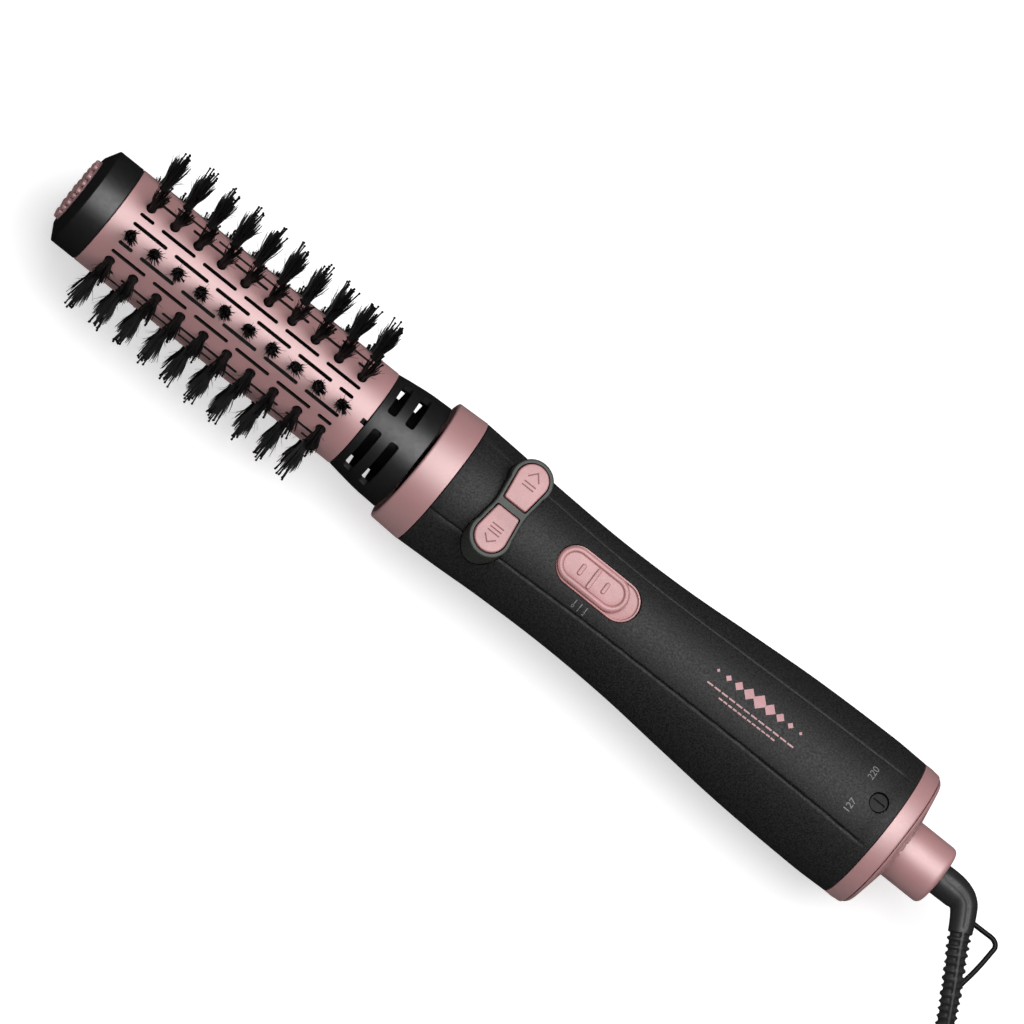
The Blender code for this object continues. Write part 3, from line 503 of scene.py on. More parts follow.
ROSE = rose_metal()
SATIN = plain_finish("rose_satin", (0.42, 0.20, 0.203), 0.36, 0.44, specular=0.7, bump=0.03)
SOFT = soft_touch()
GLOSS = plain_finish("gloss_black_plastic", (0.007, 0.007, 0.007), 0.38, 0.46, specular=0.6)
BEZEL = plain_finish("bezel_plastic", (0.030, 0.034, 0.030), 0.36, 0.46, specular=0.35)
# Deep black with little sheen for the dial, hang loop and neck duct; the same black is painted shade on the front
# recess disc and on the inner CAD solids seen through the neck's slots.
BLACK = plain_finish("deep_black_plastic_and_painted_shade", (0.004, 0.004, 0.004), 0.3, 0.4, specular=0.12)
BRISTLE = plain_finish("bristle_nylon", (0.004, 0.004, 0.004), 0.45, 0.6, scale=1500.0, specular=0.18)
ENGRAVING = plain_finish("engraved_rose", (0.25, 0.11, 0.11), 0.5, 0.6, specular=0.2)
PRINT = plain_finish("rose_print", (0.44, 0.225, 0.24), 0.4, 0.5)
GREY_PRINT = plain_finish("grey_print", (0.16, 0.16, 0.165), 0.4, 0.5)
CORD = plain_finish("cord_rubber", (0.016, 0.016, 0.017), 0.42, 0.56, scale=1200.0, bump=0.15)
INNER = plain_finish("inner_plastic", (0.42, 0.41, 0.38), 0.45, 0.6)
# Near black for the inside of the barrel: painted shade where its holes and slots look in.
BARREL_INSIDE_SHADE = plain_finish("barrel_inside_painted_shade", (0.012, 0.011, 0.011), 0.5, 0.7)
STEEL = plain_finish("steel", (0.55, 0.55, 0.57), 0.25, 0.38, metallic=1.0)
BRASS = plain_finish("pin_brass", (0.72, 0.56, 0.28), 0.2, 0.32, metallic=1.0)
MICA = plain_finish("mica", (0.45, 0.39, 0.29), 0.5, 0.7, scale=300.0)
BOARD = plain_finish("circuit_board", (0.03, 0.16, 0.07), 0.35, 0.5)
FLOOR = pale_floor()
SLOT_MATERIALS = {
    "rose_metal": ROSE, "gloss_black": GLOSS, "soft_touch": SOFT, "bezel": BEZEL, "bristle": BRISTLE,
    "inner_plastic": INNER, "steel": STEEL, "mica": MICA, "circuit_board": BOARD, "brass": BRASS,
    "cord_rubber": CORD,
}
# Inner CAD solids painted near black: painted shade inside the neck, seen through its slots.
PAINTED_SHADE_NODES = ("head_hub", "bearing_plate", "front_bearing", "drive_shaft")


def place(piece, body, slot, *nodes):
    """Ride on a body and stand for CAD nodes; the slot argument is not used."""
    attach(piece, body)
    if nodes:
        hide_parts(*nodes)
    return piece


# ---------------------------------------------------------------- brush head

def row_angle(row):
    return FIRST_ROW_ANGLE + 360.0 / ROW_COUNT * row


def tuft_station(tuft):
    return FIRST_TUFT + TUFT_PITCH * tuft


def slot_spans(short_first):
    lengths = [LONG_SLOT] * LONG_SLOTS
    lengths = [SHORT_SLOT] + lengths if short_first else lengths + [SHORT_SLOT]
    start = SLOT_START
    for length in lengths:
        yield start + length / 2, length
        start += length + SLOT_GAP


def make_barrel():
    """The rose metal tube with its round tuft holes and round-ended air slots."""
    inner = BARREL_RADIUS - BARREL_WALL
    barrel = turned("barrel_fine", (
        (BARREL_FRONT, BARREL_RADIUS, 0.25), (BARREL_REAR, BARREL_RADIUS, 0.25),
        (BARREL_REAR, inner, 0), (BARREL_FRONT, inner, 0),
    ), ROSE, 180)
    bm = bmesh.new()
    reach = (inner - 1.5, BARREL_RADIUS + 1.5)
    for row in range(ROW_COUNT):
        for tuft in range(TUFT_COUNT):
            wrapped(bm, circle((tuft_station(tuft), 0.0), TUFT_HOLE_RADIUS, 20), row_angle(row), *reach)
        for side in (-1, 1):
            for middle, length in slot_spans(side < 0):
                wrapped(bm, stadium((middle, 0.0), length, SLOT_WIDTH, 6),
                        row_angle(row) + SLOT_ANGLE * side, *reach)
    notch = rounded_box((BARREL_REAR, 0.0), 3.4, 1.9, 0.3, 3)
    wrapped(bm, notch, -FIRST_ROW_ANGLE, *reach)
    cut(barrel, make_object("cutter", bm, None))
    # The faces inside the tube take the near-black second finish: painted shade seen through the holes and slots.
    barrel.data.materials.append(BARREL_INSIDE_SHADE)
    axis = spot(0.0)
    for face in barrel.data.polygons:
        outward = Vector((0.0, face.center.y - axis.y, face.center.z - axis.z))
        if outward.length < (BARREL_RADIUS - 0.2) * MM and abs(face.normal.x) < 0.9:
            face.material_index = 1
    round_normals(barrel)
    return place(barrel, "brush_head", "rose_metal", "barrel")


def round_normals(thing):
    """Give the curved faces of a turned piece the normals of the true cylinder."""
    mesh = thing.data
    normals = [Vector(corner.vector) for corner in mesh.corner_normals]
    for face in mesh.polygons:
        outward = Vector((0.0, face.center.y, face.center.z - AXIS_Z)).normalized()
        facing = face.normal.dot(outward)
        if abs(facing) < 0.985:
            continue
        for loop in face.loop_indices:
            point = mesh.vertices[mesh.loops[loop].vertex_index].co
            radial = Vector((0.0, point.y, point.z - AXIS_Z)).normalized()
            normals[loop] = radial if facing > 0 else -radial
    mesh.normals_split_custom_set(normals)


def fibre(bm, points, radii, sides=4):
    """A thin bristle through points, pointed at its end."""
    rings = []
    for index, point in enumerate(points):
        ahead = (points[min(index + 1, len(points) - 1)] - points[max(index - 1, 0)]).normalized()
        side = ahead.orthogonal().normalized()
        top = ahead.cross(side)
        rings.append([point + (side * math.cos(2 * math.pi * k / sides)
                               + top * math.sin(2 * math.pi * k / sides)) * radii[index] * MM
                      for k in range(sides)])
    loft(bm, rings)


def tuft(bm, station, angle, rng):
    """A stem of packed bristles that fans out, with ball-tipped pins and a few stray hairs."""
    outward, sideways = directions(angle)
    forward = Vector((1.0, 0.0, 0.0))
    centre = spot(station)

    def point(radius, spread, turn):
        lean = forward * math.cos(turn) + sideways * math.sin(turn)
        return centre + (outward * radius + lean * spread) * MM

    for index in range(FIBRE_COUNT):
        turn = rng.uniform(0.0, 2 * math.pi)
        share = math.sqrt((index + 0.5) / FIBRE_COUNT)
        root = 1.3 * share
        spread = 2.9 * share * rng.uniform(0.85, 1.1)
        top = rng.uniform(26.6, 29.8) - 1.1 * share**3
        fibre(bm, [point(STEM_FOOT, root, turn), point(STEM_TOP, root * 1.12, turn),
                   point((STEM_TOP + top) / 2, (root + spread) * 0.56, turn), point(top, spread, turn)],
              (0.20, 0.20, 0.19, 0.10))
    for _pin in range(PIN_COUNT):
        turn = rng.uniform(0.0, 2 * math.pi)
        spread = rng.uniform(0.5, 2.2)
        top = rng.uniform(29.8, 32.2) - 0.25 * spread
        tip = point(top, spread, turn)
        fibre(bm, [point(STEM_FOOT, 0.6, turn), point(STEM_TOP, 0.7, turn), tip], (0.27, 0.27, 0.24), 6)
        ball = bmesh.ops.create_icosphere(bm, subdivisions=1, radius=0.46 * MM)["verts"]
        bmesh.ops.translate(bm, vec=tip, verts=ball)
    for _hair in range(HAIR_COUNT):
        turn = rng.uniform(0.0, 2 * math.pi)
        spread = rng.uniform(3.0, 4.6)
        top = rng.uniform(22.5, 28.5)
        bend = point((19.0 + top) / 2, spread * 0.45, turn)
        fibre(bm, [point(18.0, 1.2, turn), bend, point(top, spread, turn)], (0.10, 0.09, 0.05), 3)


def make_bristle_row(row):
    """Ten tufts, their round feet in the barrel's holes and the strip that carries them."""
    rng = random.Random(100 + row)
    bm = bmesh.new()
    angle = row_angle(row)
    for index in range(TUFT_COUNT):
        tuft(bm, tuft_station(index), angle, rng)
        rings = [[spot(u, *around(level, angle + math.degrees(v / BARREL_RADIUS)))
                  for u, v in circle((tuft_station(index), 0.0), radius, 16)]
                 for level, radius in ((15.6, 1.5), (17.0, 1.5), (17.35, 1.2))]
        loft(bm, rings)
    strip = rounded_box(((BARREL_FRONT + BARREL_REAR) / 2 - 0.7, 0.0), 90.0, 3.0, 0.8, 3)
    outward, sideways = directions(angle)
    rings = [[spot(u) + (outward * radius + sideways * v) * MM for u, v in strip] for radius in (14.7, 15.9)]
    loft(bm, rings)
    piece = shade(make_object(f"bristle_row_fine_{row + 1:02d}", bm, BRISTLE))
    return place(piece, "brush_head", "bristle", f"bristle_row_{row + 1:02d}")


def make_tip():
    """The black end cap and its rose insert with round studs."""
    cap = turned("tip_cap_fine", (
        (-1.9, 12.9, 0.25), (0.7, 17.5, 0.6), (9.6, 17.5, 0.2), (9.6, 15.9, 0), (13.6, 15.9, 0.3),
        (13.6, 14.0, 0.3), (3.2, 14.0, 0), (3.2, 6.0, 0), (1.4, 6.0, 0), (1.4, 12.0, 0.2),
        (-1.9, 12.0, 0.2),
    ), GLOSS)
    place(cap, "brush_head", "gloss_black", "tip_cap")
    insert = turned("tip_insert_fine", (
        (-2.3, 0.0, 0), (-2.3, 11.2, 0.5), (1.1, 11.7, 0), (1.1, 0.0, 0),
    ), ROSE, 96)
    bm = bmesh.new()
    bm.from_mesh(insert.data)
    stud_levels = ((0.0, 1.0), (0.75, 1.0), (1.15, 0.85), (1.35, 0.5))
    for i in range(-4, 5):
        for j in range(-4, 5):
            y = STUD_PITCH * (i + j / 2)
            z = STUD_PITCH * j * math.sin(math.pi / 3)
            if math.hypot(y, z) > STUD_FIELD:
                continue
            rings = [[spot(-2.2 - rise, u, v) for u, v in circle((y, z), radius, 16)]
                     for rise, radius in stud_levels]
            loft(bm, rings)
    put_back(insert, bm)
    place(insert, "brush_head", "rose_metal", "tip_insert")


def make_neck():
    """The slotted black neck and the duct inside it."""
    shell = turned("neck_shell_fine", (
        (111.3, 17.4, 0.15), (114.7, 17.9, 0), (117.8, 18.3, 0), (121.0, 18.7, 0), (124.0, 18.95, 0),
        (127.0, 19.05, 0), (130.6, 19.2, 0.3), (130.6, 17.2, 0), (117.8, 16.5, 0), (111.3, 15.7, 0),
    ), GLOSS, 180)
    bm = bmesh.new()
    for station in (115.5, 122.2):
        for start, end in NECK_SLOT_SPANS:
            arc_length = math.radians(end - start) * BARREL_RADIUS
            outline = rounded_box((station, 0.0), 3.3, arc_length, 0.9, 5)
            dense = []
            for index, point in enumerate(outline):
                after = outline[(index + 1) % len(outline)]
                parts = max(1, int(math.dist(point, after) / 0.8))
                for step in range(parts):
                    dense.append(tuple(Vector(point).lerp(Vector(after), step / parts)))
            wrapped(bm, dense, (start + end) / 2, 13.5, 21.5)
    cut(shell, make_object("cutter", bm, None))
    place(shell, "brush_head", "gloss_black", "neck_shell")
    duct = turned("neck_duct_fine", (
        (111.3, 11.2, 0.2), (130.6, 11.2, 0.2), (130.6, 10.0, 0.2), (111.3, 10.0, 0.2),
    ), BLACK, 72)
    place(duct, "brush_head", "gloss_black", "neck_duct")


# ---------------------------------------------------------------- handle

def panel_rise(station, angle):
    """Height of the raised panel: a soft step at its edges that fades at both ends."""
    radius = smooth_value(HANDLE_OUTLINE, station)
    edge = smooth_value(PANEL_OUTLINE, station)
    across = abs(radius * math.sin(math.radians(angle)))
    if abs(angle) > 80:
        return 0.0
    front = smooth_step((station - PANEL_FRONT + PANEL_FADE) / PANEL_FADE)
    rear = smooth_step((PANEL_REAR + PANEL_FADE - station) / PANEL_FADE)
    step = smooth_step((edge + 0.9 - across) / 0.9)
    groove = math.exp(-((across - edge - 0.75) / 0.42) ** 2)
    return (PANEL_RISE * step - 0.5 * groove) * front * rear


def handle_point(station, angle, drop=0.0):
    radius = smooth_value(HANDLE_OUTLINE, station) + panel_rise(station, angle) - drop
    return spot(station, *around(radius, angle))


def upper_angles():
    """Angles across the upper shell, close together at the panel's edges."""
    half = [3.0 * i for i in range(1, 8)]
    half += [24.0 + 0.6 * i for i in range(26)]
    half += [42.0 + 4.0 * i for i in range(12)]
    half = [angle for angle in half if angle < SPLIT_ANGLE] + [SPLIT_ANGLE]
    return [-angle for angle in reversed(half)] + [0.0] + half


def make_shell(name, angles):
    """One half of the casing, with both skins of its wall."""
    count = 96
    rings = []
    for index in range(count + 1):
        station = HANDLE_FRONT + (HANDLE_REAR - HANDLE_FRONT) * index / count
        outside = [handle_point(station, angle) for angle in angles]
        inside = [spot(station, *around(smooth_value(HANDLE_OUTLINE, station) - SHELL_WALL, angle))
                  for angle in reversed(angles)]
        rings.append(outside + inside)
    bm = bmesh.new()
    verts = loft(bm, rings, caps=False)
    size = len(verts[0])
    for end in (verts[0], verts[-1]):
        for index in range(size // 2 - 1):
            bm.faces.new((end[index], end[index + 1], end[size - 2 - index], end[size - 1 - index]))
    return shade(make_object(name, bm, SOFT))


def pod_outline(grow=0.0):
    """Two lobes joined by a waist."""
    radius = LOBE_RADIUS + grow
    waist = POD_WAIST + grow
    lobe = arc((POD_STATION, LOBE_OFFSET), radius, -24.0, 204.0, 32)
    other = arc((POD_STATION, -LOBE_OFFSET), radius, 156.0, 384.0, 32)

    def side(sign, start):
        flare = abs(start[0] - POD_STATION) - waist
        points = []
        for step in range(-3, 4):
            share = step / 4
            reach = waist + flare * (1 - smooth_step(1 - abs(share)))
            points.append((POD_STATION + sign * reach, sign * abs(start[1]) * share))
        return points

    return lobe + side(-1, lobe[-1]) + other + side(1, other[-1])


def button_outline(side, grow=0.0):
    lobe = arc((POD_STATION, side * LOBE_OFFSET), BUTTON_RADIUS + grow, -10.0 * side, 190.0 * side, 32)
    inner = side * (BUTTON_INNER_EDGE - grow)
    half = BUTTON_INNER_HALF + grow
    corners = [(POD_STATION - half, inner, 0.9), (POD_STATION + half, inner, 0.9)]
    return filleted([(u, v, 0) for u, v in lobe] + corners)


def make_casing():
    """Both shells with the windows of the controls, and the screw post's recess below."""
    upper = make_shell("upper_shell_fine", upper_angles())
    cut(upper, upright_cutter(pod_outline(FIT_GAP), 2.0, 40.0))
    cut(upper, upright_cutter(stadium((SLIDER_STATION, 0.0), *SLIDER_WINDOW, 24), 10.0, 40.0))
    cut(upper, upright_cutter(circle((DIAL_STATION, 0.0), DIAL_RADIUS + FIT_GAP, 48), 10.0, 40.0))
    place(upper, "handle", "soft_touch", "upper_shell")
    count = 64
    span = 360.0 - 2 * SPLIT_ANGLE
    lower = make_shell("lower_shell_fine", [SPLIT_ANGLE + span * i / count for i in range(count + 1)])
    cut(lower, upright_cutter(circle((SCREW_STATION, 0.0), 3.1, 48), -40.0, -15.0))
    place(lower, "handle", "soft_touch", "lower_shell")
    post_profile = ((3.9, -20.8), (3.9, -0.2), (1.6, -0.2), (1.6, -17.0), (3.1, -17.0), (3.1, -20.8))
    bm = bmesh.new()
    rings = [[spot(u, v, z) for u, v in circle((SCREW_STATION, 0.0), r, 40)] for r, z in post_profile]
    loft(bm, rings, closed=True)
    place(shade(make_object("screw_post", bm, SOFT)), "handle", "soft_touch")


def make_rings():
    """The rose rings at both ends of the handle, a black disc of painted shade inside the front one, the intake
    cone and the collar.
    """
    front = turned("front_ring_fine", (
        (131.5, 22.25, 0.9), (142.3, 22.7, 0.25), (142.3, 20.6, 0), (132.5, 20.4, 0), (131.5, 20.6, 0.3),
    ), ROSE)
    place(front, "handle", "rose_metal", "front_ring")
    # A black disc in the gap between the neck and the front ring: painted shade, standing for the dark gap there.
    recess = turned("front_recess_painted_shade", (
        (134.0, 20.25, 0), (135.0, 20.25, 0), (135.0, 17.6, 0), (134.0, 17.6, 0),
    ), BLACK)
    place(recess, "handle", "gloss_black")
    rear = turned("rear_ring_fine", (
        (315.3, 25.15, 0.2), (318.0, 25.2, 0), (321.2, 24.85, 0.7), (321.2, 22.8, 0), (315.3, 22.8, 0),
    ), ROSE)
    place(rear, "handle", "rose_metal", "rear_ring")
    grille = turned("intake_grille_fine", (
        (321.5, 24.5, 0.5), (322.6, 23.3, 0.6), (325.2, 11.6, 0.3), (325.2, 10.7, 0.1), (323.4, 10.7, 0),
        (321.0, 21.0, 0), (317.0, 21.0, 0), (317.0, 22.5, 0), (321.5, 22.5, 0),
    ), ROSE)
    bm = bmesh.new()
    for index in range(CONE_TEETH):
        outward = Vector(around(1.0, 360.0 / CONE_TEETH * (index + 0.5)))
        across = Vector((-outward.y, outward.x))
        wedge = [outward * 11.6 - across * 0.75, outward * 11.6 + across * 0.75,
                 outward * 17.6 + across * 0.22, outward * 17.6 - across * 0.22]
        loft(bm, [[spot(station, *corner) for corner in wedge] for station in (318.0, 330.0)])
    cut(grille, make_object("cutter", bm, None))
    place(grille, "handle", "rose_metal", "intake_grille")
    collar = turned("swivel_collar_fine", (
        (318.0, 10.35, 0), (340.5, 10.35, 2.6), (340.5, 5.75, 0.3), (330.0, 5.75, 0), (330.0, 8.6, 0),
        (318.0, 8.6, 0),
    ), ROSE, 96)
    place(collar, "handle", "rose_metal", "swivel_collar")


def stroke(points, width):
    """The outline of a thin mark along a line of (station, y) points."""
    line = [Vector(point) for point in points]
    near, far = [], []
    for index, point in enumerate(line):
        into = (point - line[index - 1]).normalized() if index else (line[1] - point).normalized()
        out = (line[index + 1] - point).normalized() if index < len(line) - 1 else into
        side = Vector((-(into + out).y, (into + out).x)).normalized()
        reach = width / 2 / max(side.dot(Vector((-into.y, into.x))), 0.4)
        near.append(point + side * reach)
        far.append(point - side * reach)
    return [tuple(point) for point in near + far[::-1]]


def make_pod():
    """The two-lobed bezel and its buttons with engraved arrows."""
    bezel = raised("button_bezel_fine", pod_outline(), round_top(5.0, POD_TOP, 0.55), BEZEL)
    cut(bezel, upright_cutter(inset(pod_outline(), 1.3), 4.0, POD_TOP - 3.5))
    cut(bezel, prism([around(16.9, 7.5 * k) for k in range(48)], 150.0, 175.0,
                     lambda y, z, station: spot(station, y, z)))
    for side in (-1, 1):
        cut(bezel, upright_cutter(button_outline(side, 0.42), 20.0, POD_TOP + 2.0))
    place(bezel, "handle", "bezel", "button_bezel")
    top = POD_TOP + 0.7
    icons = {
        -1: (((-2.1, 3.1), (0.0, 0.6), (2.1, 3.1)), (4.9, 6.2)),
        1: (((-2.1, 2.9), (0.0, 0.9), (2.1, 2.9)), (4.4, 5.7, 7.0)),
    }
    for side, node, body in ((-1, "forward_button", "forward_key"), (1, "reverse_button", "reverse_key")):
        button = raised(f"{node}_fine", button_outline(side), round_top(top - 3.8, top, 0.5), SATIN)
        outer_edge = LOBE_OFFSET + 3.4
        chevron, bars = icons[side]
        lines = [[(POD_STATION + u, side * (outer_edge - v)) for u, v in chevron]]
        for bar in bars:
            y = side * (outer_edge - bar)
            lines.append([(POD_STATION - 2.2, y), (POD_STATION + 2.2, y)])
        bm = bmesh.new()
        for line in lines:
            outline = stroke(line, ICON_WIDTH)
            cut(button, upright_cutter(outline, top - 0.3, top + 1.0))
            layered(bm, outline, ((0.0, top - 0.5), (0.0, top - 0.2)))
        place(button, body, "rose_metal", node)
        place(make_object(f"{node}_icon", bm, ENGRAVING), body, "rose_metal")


def make_slider():
    """The tray in its window and the knob with its rim, dish and grip bars."""
    tray_length, tray_width = [size - 2 * FIT_GAP for size in SLIDER_WINDOW]
    tray_outline = stadium((SLIDER_STATION, 0.0), tray_length, tray_width, 32)
    tray = raised("slider_tray_fine", tray_outline,
                  ((0.0, 18.4), (0.0, 20.5), (0.15, 20.65), (0.5, 20.6), (0.62, 20.3), (0.75, 19.75),
                   (1.2, SLIDER_FLOOR)), SATIN)
    cut(tray, upright_cutter(stadium((SLIDER_STATION, 0.0), 10.0, 3.0, 12), 17.0, 21.0))
    place(tray, "handle", "rose_metal", "slider_tray")
    rest = SLIDER_STATION - SLIDER_REST_OFFSET
    rim = 22.25
    knob = raised("slider_knob_fine", stadium((rest, 0.0), SLIDER_KNOB[0], SLIDER_KNOB[1] - 0.7, 40), (
        (0.25, 19.9), (0.0, 20.1), (0.0, 21.3), (0.12, 21.8), (0.45, 22.12), (0.85, rim), (1.3, rim),
        (1.65, 22.1), (1.85, 21.75), (2.1, 21.5), (2.6, 21.4), (4.0, 21.3),
    ), SATIN)
    bm = bmesh.new()
    bm.from_mesh(knob.data)
    for index, length in enumerate((4.3, 8.0, 4.3)):
        bar = stadium((0.0, 0.0), length, 1.5, 12)
        bar = [(rest + 4.7 * (index - 1) + v, u) for u, v in bar]
        top = 22.2 if index == 1 else 21.95
        layered(bm, bar, ((-0.12, 21.1), (0.0, 21.4), (0.08, top - 0.25), (0.25, top - 0.05), (0.45, top)))
    stem = rounded_box((rest, 0.0), 3.0, 2.2, 0.4, 3)
    layered(bm, stem, ((0.2, 15.4), (0.0, 15.7), (0.0, 20.2)))
    put_back(knob, bm)
    place(knob, "power_slider", "rose_metal", "slider_knob")


def make_dial():
    """The black voltage dial with its coin slot."""
    dial = raised("voltage_dial_fine", circle((DIAL_STATION, 0.0), DIAL_RADIUS, 64),
                  round_top(19.8, 25.3, 0.3), BLACK)
    cut(dial, upright_cutter(rounded_box((DIAL_STATION, 0.0), 4.6, 0.9, 0.3, 4), 24.4, 27.0))
    place(dial, "voltage_selector", "gloss_black", "voltage_dial")


def on_panel(station, y, drop=0.0):
    """A point on the panel's surface, from its station and its distance from the middle line."""
    angle = math.degrees(math.asin(-y / smooth_value(HANDLE_OUTLINE, station)))
    return handle_point(station, angle, drop)


def panel_print(name, text, station, y, size, reading, ink):
    """Small printed numbers that lie on the panel."""
    curve = bpy.data.curves.new(name, "FONT")
    curve.body = text
    curve.size = size * MM
    curve.align_x = "CENTER"
    curve.align_y = "CENTER"
    curve.extrude = 0.05 * MM
    label = add_object(name, curve)
    surface = on_panel(station, y)
    normal = Vector((0.0, surface.y, surface.z - AXIS_Z)).normalized()
    right = Vector(reading)
    right = (right - normal * right.dot(normal)).normalized()
    upward = normal.cross(right)
    turn = Matrix((right, upward, normal)).transposed().to_4x4()
    label.matrix_world = Matrix.Translation(surface + normal * 0.05 * MM) @ turn
    mesh = applied(label)
    mesh.transform(label.matrix_world)
    bpy.data.objects.remove(label, do_unlink=True)
    printed = add_object(name, mesh)
    mesh.materials.clear()
    mesh.materials.append(ink)
    place(printed, "handle", "rose_metal")


def printed_shape(bm, outline):
    """A flat printed patch that follows the panel's curve."""
    loft(bm, [[on_panel(station, y, drop) for station, y in outline] for drop in (0.0, -PRINT_HEIGHT)])


def make_prints():
    """Plain marks: slider ticks and numbers, the two voltages and a simple line ornament."""
    tick_start = SLIDER_STATION - SLIDER_REST_OFFSET
    bm = bmesh.new()
    for step in range(3):
        station = tick_start + SLIDER_STEP * step
        printed_shape(bm, rounded_box((station, 8.35), 0.3, 1.3, 0.1, 2))
        panel_print(f"slider_number_{step}", str(step), station, 9.75, 1.9, (-1, 0, 0), GREY_PRINT)
    place(make_object("slider_ticks", bm, GREY_PRINT), "handle", "soft_touch")
    for text, y in (("127", 6.2), ("220", -6.2)):
        panel_print(f"voltage_{text}", text, DIAL_STATION - 6.8, y, 3.2, (0, -1, 0), GREY_PRINT)
    bm = bmesh.new()
    for index in range(9):
        size = 2.6 - 0.5 * abs(index - 4)
        printed_shape(bm, circle((244.0 + 4.0 * index, -1.6), size, 4))
    for y, length in ((3.2, 34.0), (5.0, 22.0)):
        for part in range(12):
            centre = 260.0 - length / 2 + length * (part + 0.5) / 12
            printed_shape(bm, rounded_box((centre, y), length / 12 * 0.82, 0.5, 0.2, 2))
    place(make_object("panel_ornament", bm, PRINT), "handle", "rose_metal")


# ---------------------------------------------------------------- cord

def make_boot():
    """The bent rubber boot: smooth at its elbow, then ribbed on both sides of a spine."""
    steps = 24
    points = smooth_route(metres(BOOT_ROUTE), steps)
    distance = [0.0]
    for before, after in zip(points, points[1:]):
        distance.append(distance[-1] + (after - before).length / MM)
    knots = [distance[index * steps] for index in range(len(BOOT_ROUTE))]
    table = list(zip(knots, BOOT_RADII))
    ribs_start = knots[4] + 5.2

    def radius(index, angle):
        here = distance[index]
        base = smooth_value(table, here)
        off_spine = smooth_step((abs(math.sin(angle)) - 0.10) / 0.18)
        if here < ribs_start:
            crease = math.exp(-((math.sin(angle) / 0.17) ** 2)) * smooth_step((here - 12.0) / 3.0)
            return base - 0.4 * crease * smooth_step((ribs_start - here) / 2.0)
        wave = 0.5 - 0.5 * math.cos(2 * math.pi * (here - ribs_start) / RIB_PITCH)
        end = smooth_step((distance[-1] - here) / 2.0)
        return base - 0.75 * smooth_step((wave - 0.3) / 0.3) * off_spine * end

    bm = bmesh.new()
    swept(bm, points, radius, 64)
    boot = shade(make_object("cord_boot_fine", bm, CORD), math.radians(50.0))
    place(boot, "cord_swivel", "cord_rubber", "cord_boot")
    bm = bmesh.new()
    swept(bm, smooth_route(metres(LOOP_ROUTE), 10), lambda index, angle: LOOP_WIRE_RADIUS, 20)
    loop = shade(make_object("hang_loop_fine", bm, BLACK))
    place(loop, "cord_swivel", "gloss_black", "hang_loop")
    return boot, loop


def coil_point(turns):
    """A point of the wound cord: three turns in, three out above them, then the rest on top."""
    for before, after in zip(COIL_WINDING, COIL_WINDING[1:]):
        if turns <= after[0]:
            break
    share = smooth_step((turns - before[0]) / (after[0] - before[0]))
    radius = before[1] + (after[1] - before[1]) * share
    height = before[2] + (after[2] - before[2]) * share
    angle = math.pi / 2 + 2 * math.pi * turns
    return Vector((COIL_CENTRE[0] + radius * math.cos(angle), COIL_CENTRE[1] + radius * math.sin(angle),
                   COIL_FLOOR + height))


def cord_path():
    """The whole cord in metres: from the boot to the floor, round the coil, and up to the plug."""
    per_turn = 72
    wound = [coil_point(index / per_turn) for index in range(int(COIL_WINDING[-1][0] * per_turn) + 1)]
    lead = smooth_route(list(CORD_ROUTE) + [wound[0]], 10)[:-1]
    rear = Vector(PLUG_REAR)
    last = wound[-1]
    tail = []
    steps = 20
    for step in range(1, steps + 1):
        turn = math.pi / 2 * step / steps
        height = last.z + (rear.z - last.z) * smooth_step(step / steps)
        tail.append(Vector((rear.x + (last.x - rear.x) * math.cos(turn),
                            last.y + (rear.y - last.y) * math.sin(turn), height)))
    return metres(lead + wound + tail)


def make_cord():
    path = cord_path()
    bm = bmesh.new()
    swept(bm, path, lambda index, angle: CORD_DIAMETER / 2, 20)
    cord = shade(make_object("cord_fine", bm, CORD))
    place(cord, "cord_swivel", "cord_rubber", "cord", "cord_coil")
    return cord, path


def make_tie():
    """A strap round the coil."""
    section = rounded_box(((COIL_INSIDE + COIL_OUTSIDE) / 2, 9.4), 19.6, 18.1, 4.0, 8)
    angle = math.radians(TIE_ANGLE)
    radial = Vector((math.cos(angle), math.sin(angle), 0.0))
    tangent = Vector((-radial.y, radial.x, 0.0))
    centre = Vector((*COIL_CENTRE, 0.0))
    bm = bmesh.new()
    rings = []
    for distance, side in ((0.0, -0.5), (0.0, 0.5), (TIE_THICKNESS, 0.5), (TIE_THICKNESS, -0.5)):
        rings.append([(centre + radial * u + tangent * TIE_WIDTH * side + Vector((0, 0, v))) * MM
                      for u, v in inset(section, -distance)])
    loft(bm, rings, closed=True)
    return place(shade(make_object("cord_tie", bm, SOFT)), "cord_swivel", "cord_rubber")


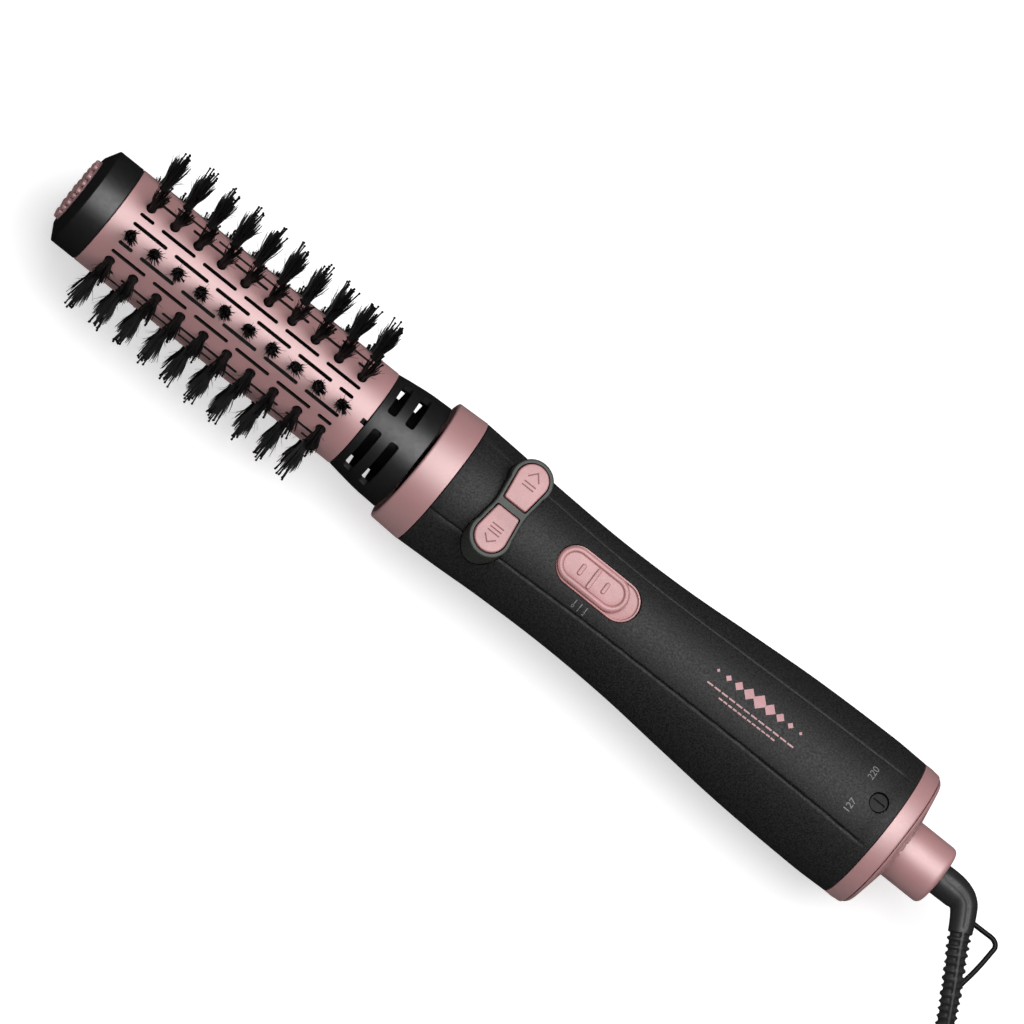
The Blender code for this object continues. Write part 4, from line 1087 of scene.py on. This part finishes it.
def make_plug(path):
    """The moulded flat plug, its ribbed relief and two round pins."""
    rear = Vector(PLUG_REAR) * MM
    sections = (
        (12.0, 16.0, 8.6, 3.6), (13.0, 19.0, 10.6, 4.2), (18.0, 24.0, 12.0, 4.6),
        (23.0, 30.5, 13.0, 4.8), (27.0, 34.0, 13.4, 5.0), (36.6, 35.0, 13.4, 5.0),
        (37.6, 34.6, 13.0, 4.8), (PLUG_LENGTH, 33.6, 12.0, 4.4),
    )
    bm = bmesh.new()
    rings = []
    for x, wide, tall, radius in sections:
        outline = rounded_box((0.0, 0.0), wide, tall, radius, 8)
        rings.append([rear + Vector((x, u, v)) * MM for u, v in outline])
    loft(bm, rings)
    guide = path[-14:] + [rear + Vector((0.5 * step, 0.0, 0.0)) * MM for step in range(1, 27)]
    count = len(guide)

    def relief(index, angle):
        share = index / (count - 1)
        ring = 0.5 - 0.5 * math.cos(2 * math.pi * index / 4)
        return 3.5 + 1.0 * share - 0.35 * ring * smooth_step((1 - share) * 4)

    swept(bm, guide, relief, 32)
    plug = shade(make_object("plug_fine", bm, GLOSS))
    place(plug, "cord_swivel", "gloss_black", "plug")
    face = rear + Vector((PLUG_LENGTH, 0.0, 0.0)) * MM
    pins = []
    for index, side in enumerate((-1, 1)):
        bm = bmesh.new()
        centre = face + Vector((0.0, side * PIN_SPACING / 2, 0.0)) * MM
        profile = ((-4.0, PIN_RADIUS), (PIN_LENGTH - 1.5, PIN_RADIUS), (PIN_LENGTH - 0.6, PIN_RADIUS * 0.85),
                   (PIN_LENGTH, PIN_RADIUS * 0.45))
        rings = [[centre + Vector((x, u, v)) * MM for u, v in circle((0.0, 0.0), r, 32)] for x, r in profile]
        loft(bm, rings)
        pin = shade(make_object(f"plug_pin_fine_{index + 1}", bm, BRASS))
        pins.append(place(pin, "cord_swivel", "brass", f"plug_pin_{index + 1}"))
    return plug, pins


# ---------------------------------------------------------------- studio

VIEW_FROM = Vector((0.0935, 0.261, 0.961)).normalized()
VIEW_ROLL = math.radians(141.32)
VIEW_DISTANCE = 5.0
VIEW_LENS = 567.0
VIEW_CENTRE = (3.15, 6.0)
SOFTBOX_PLACE = Vector((-0.19, -0.10, 1.5))
SOFTBOX_SIZE = (1.3, 1.6)
SOFTBOX_POWER = 34.0


def make_camera():
    """Looks down on the brush, which lies across the frame from upper left to lower right."""
    flat = (Vector((1, 0, 0)) - VIEW_FROM * VIEW_FROM.x).normalized()
    second = VIEW_FROM.cross(flat)
    right = flat * math.cos(VIEW_ROLL) - second * math.sin(VIEW_ROLL)
    up = flat * math.sin(VIEW_ROLL) + second * math.cos(VIEW_ROLL)
    target = Vector((VIEW_CENTRE[0] * MM, 0.0, AXIS_Z)) - second * VIEW_CENTRE[1] * MM
    data = bpy.data.cameras.new("camera")
    data.lens = VIEW_LENS
    data.sensor_width = 36.0
    data.clip_end = 60.0
    camera = add_object("camera", data)
    turn = Matrix((right, up, VIEW_FROM)).transposed().to_4x4()
    camera.matrix_world = Matrix.Translation(target + VIEW_FROM * VIEW_DISTANCE) @ turn
    bpy.context.scene.camera = camera
    return target


def make_studio(target):
    """A pale floor under one large soft light, in a room that is brighter above."""
    bpy.ops.mesh.primitive_plane_add(size=6.0, location=(0, 0, 0))
    floor = bpy.context.object
    floor.name = "studio_floor"
    floor.data.materials.append(FLOOR)
    floor.visible_glossy = False
    world = bpy.data.worlds.new("studio")
    world.use_nodes = True
    nodes, links = world.node_tree.nodes, world.node_tree.links
    direction = nodes.new("ShaderNodeTexCoord")
    parts = nodes.new("ShaderNodeSeparateXYZ")
    sky = nodes.new("ShaderNodeMapRange")
    sky.interpolation_type = "SMOOTHSTEP"
    set_inputs(sky, {"From Min": -0.25, "From Max": 0.75, "To Min": 0.06, "To Max": 0.85})
    links.new(direction.outputs["Generated"], parts.inputs["Vector"])
    links.new(parts.outputs["Z"], sky.inputs["Value"])
    links.new(sky.outputs["Result"], nodes["Background"].inputs["Strength"])
    bpy.context.scene.world = world
    softbox = bpy.data.lights.new("overhead", "AREA")
    softbox.shape = "RECTANGLE"
    softbox.size, softbox.size_y = SOFTBOX_SIZE
    softbox.energy = SOFTBOX_POWER
    light = add_object("overhead", softbox)
    light.location = SOFTBOX_PLACE
    light.rotation_euler = (target - SOFTBOX_PLACE).to_track_quat("-Z", "Y").to_euler()
    bpy.context.scene.view_settings.view_transform = "Standard"


def finish_cad_nodes():
    """Give the inner CAD solids the material of their slot, or near black as painted shade where the neck's slots
    show them.
    """
    slots = {entry["node"]: entry["material_slot"] for entry in frame["record"]["subparts"]}
    for name, thing in frame["nodes"].items():
        thing.data.materials.clear()
        thing.data.materials.append(BLACK if name in PAINTED_SHADE_NODES else SLOT_MATERIALS[slots[name]])


view_target = make_camera()
cord_piece, cord_line = make_cord()
plug_piece, pin_pieces = make_plug(cord_line)
tie_piece = make_tie()
boot_pieces = make_boot()
tuple(cord_line[0])
[tuple(point) for point in cord_line]
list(pin_pieces)
make_barrel()
for row_number in range(ROW_COUNT):
    make_bristle_row(row_number)
make_tip()
make_neck()
make_casing()
make_rings()
make_pod()
make_slider()
make_dial()
make_prints()
finish_cad_nodes()
make_studio(view_target)
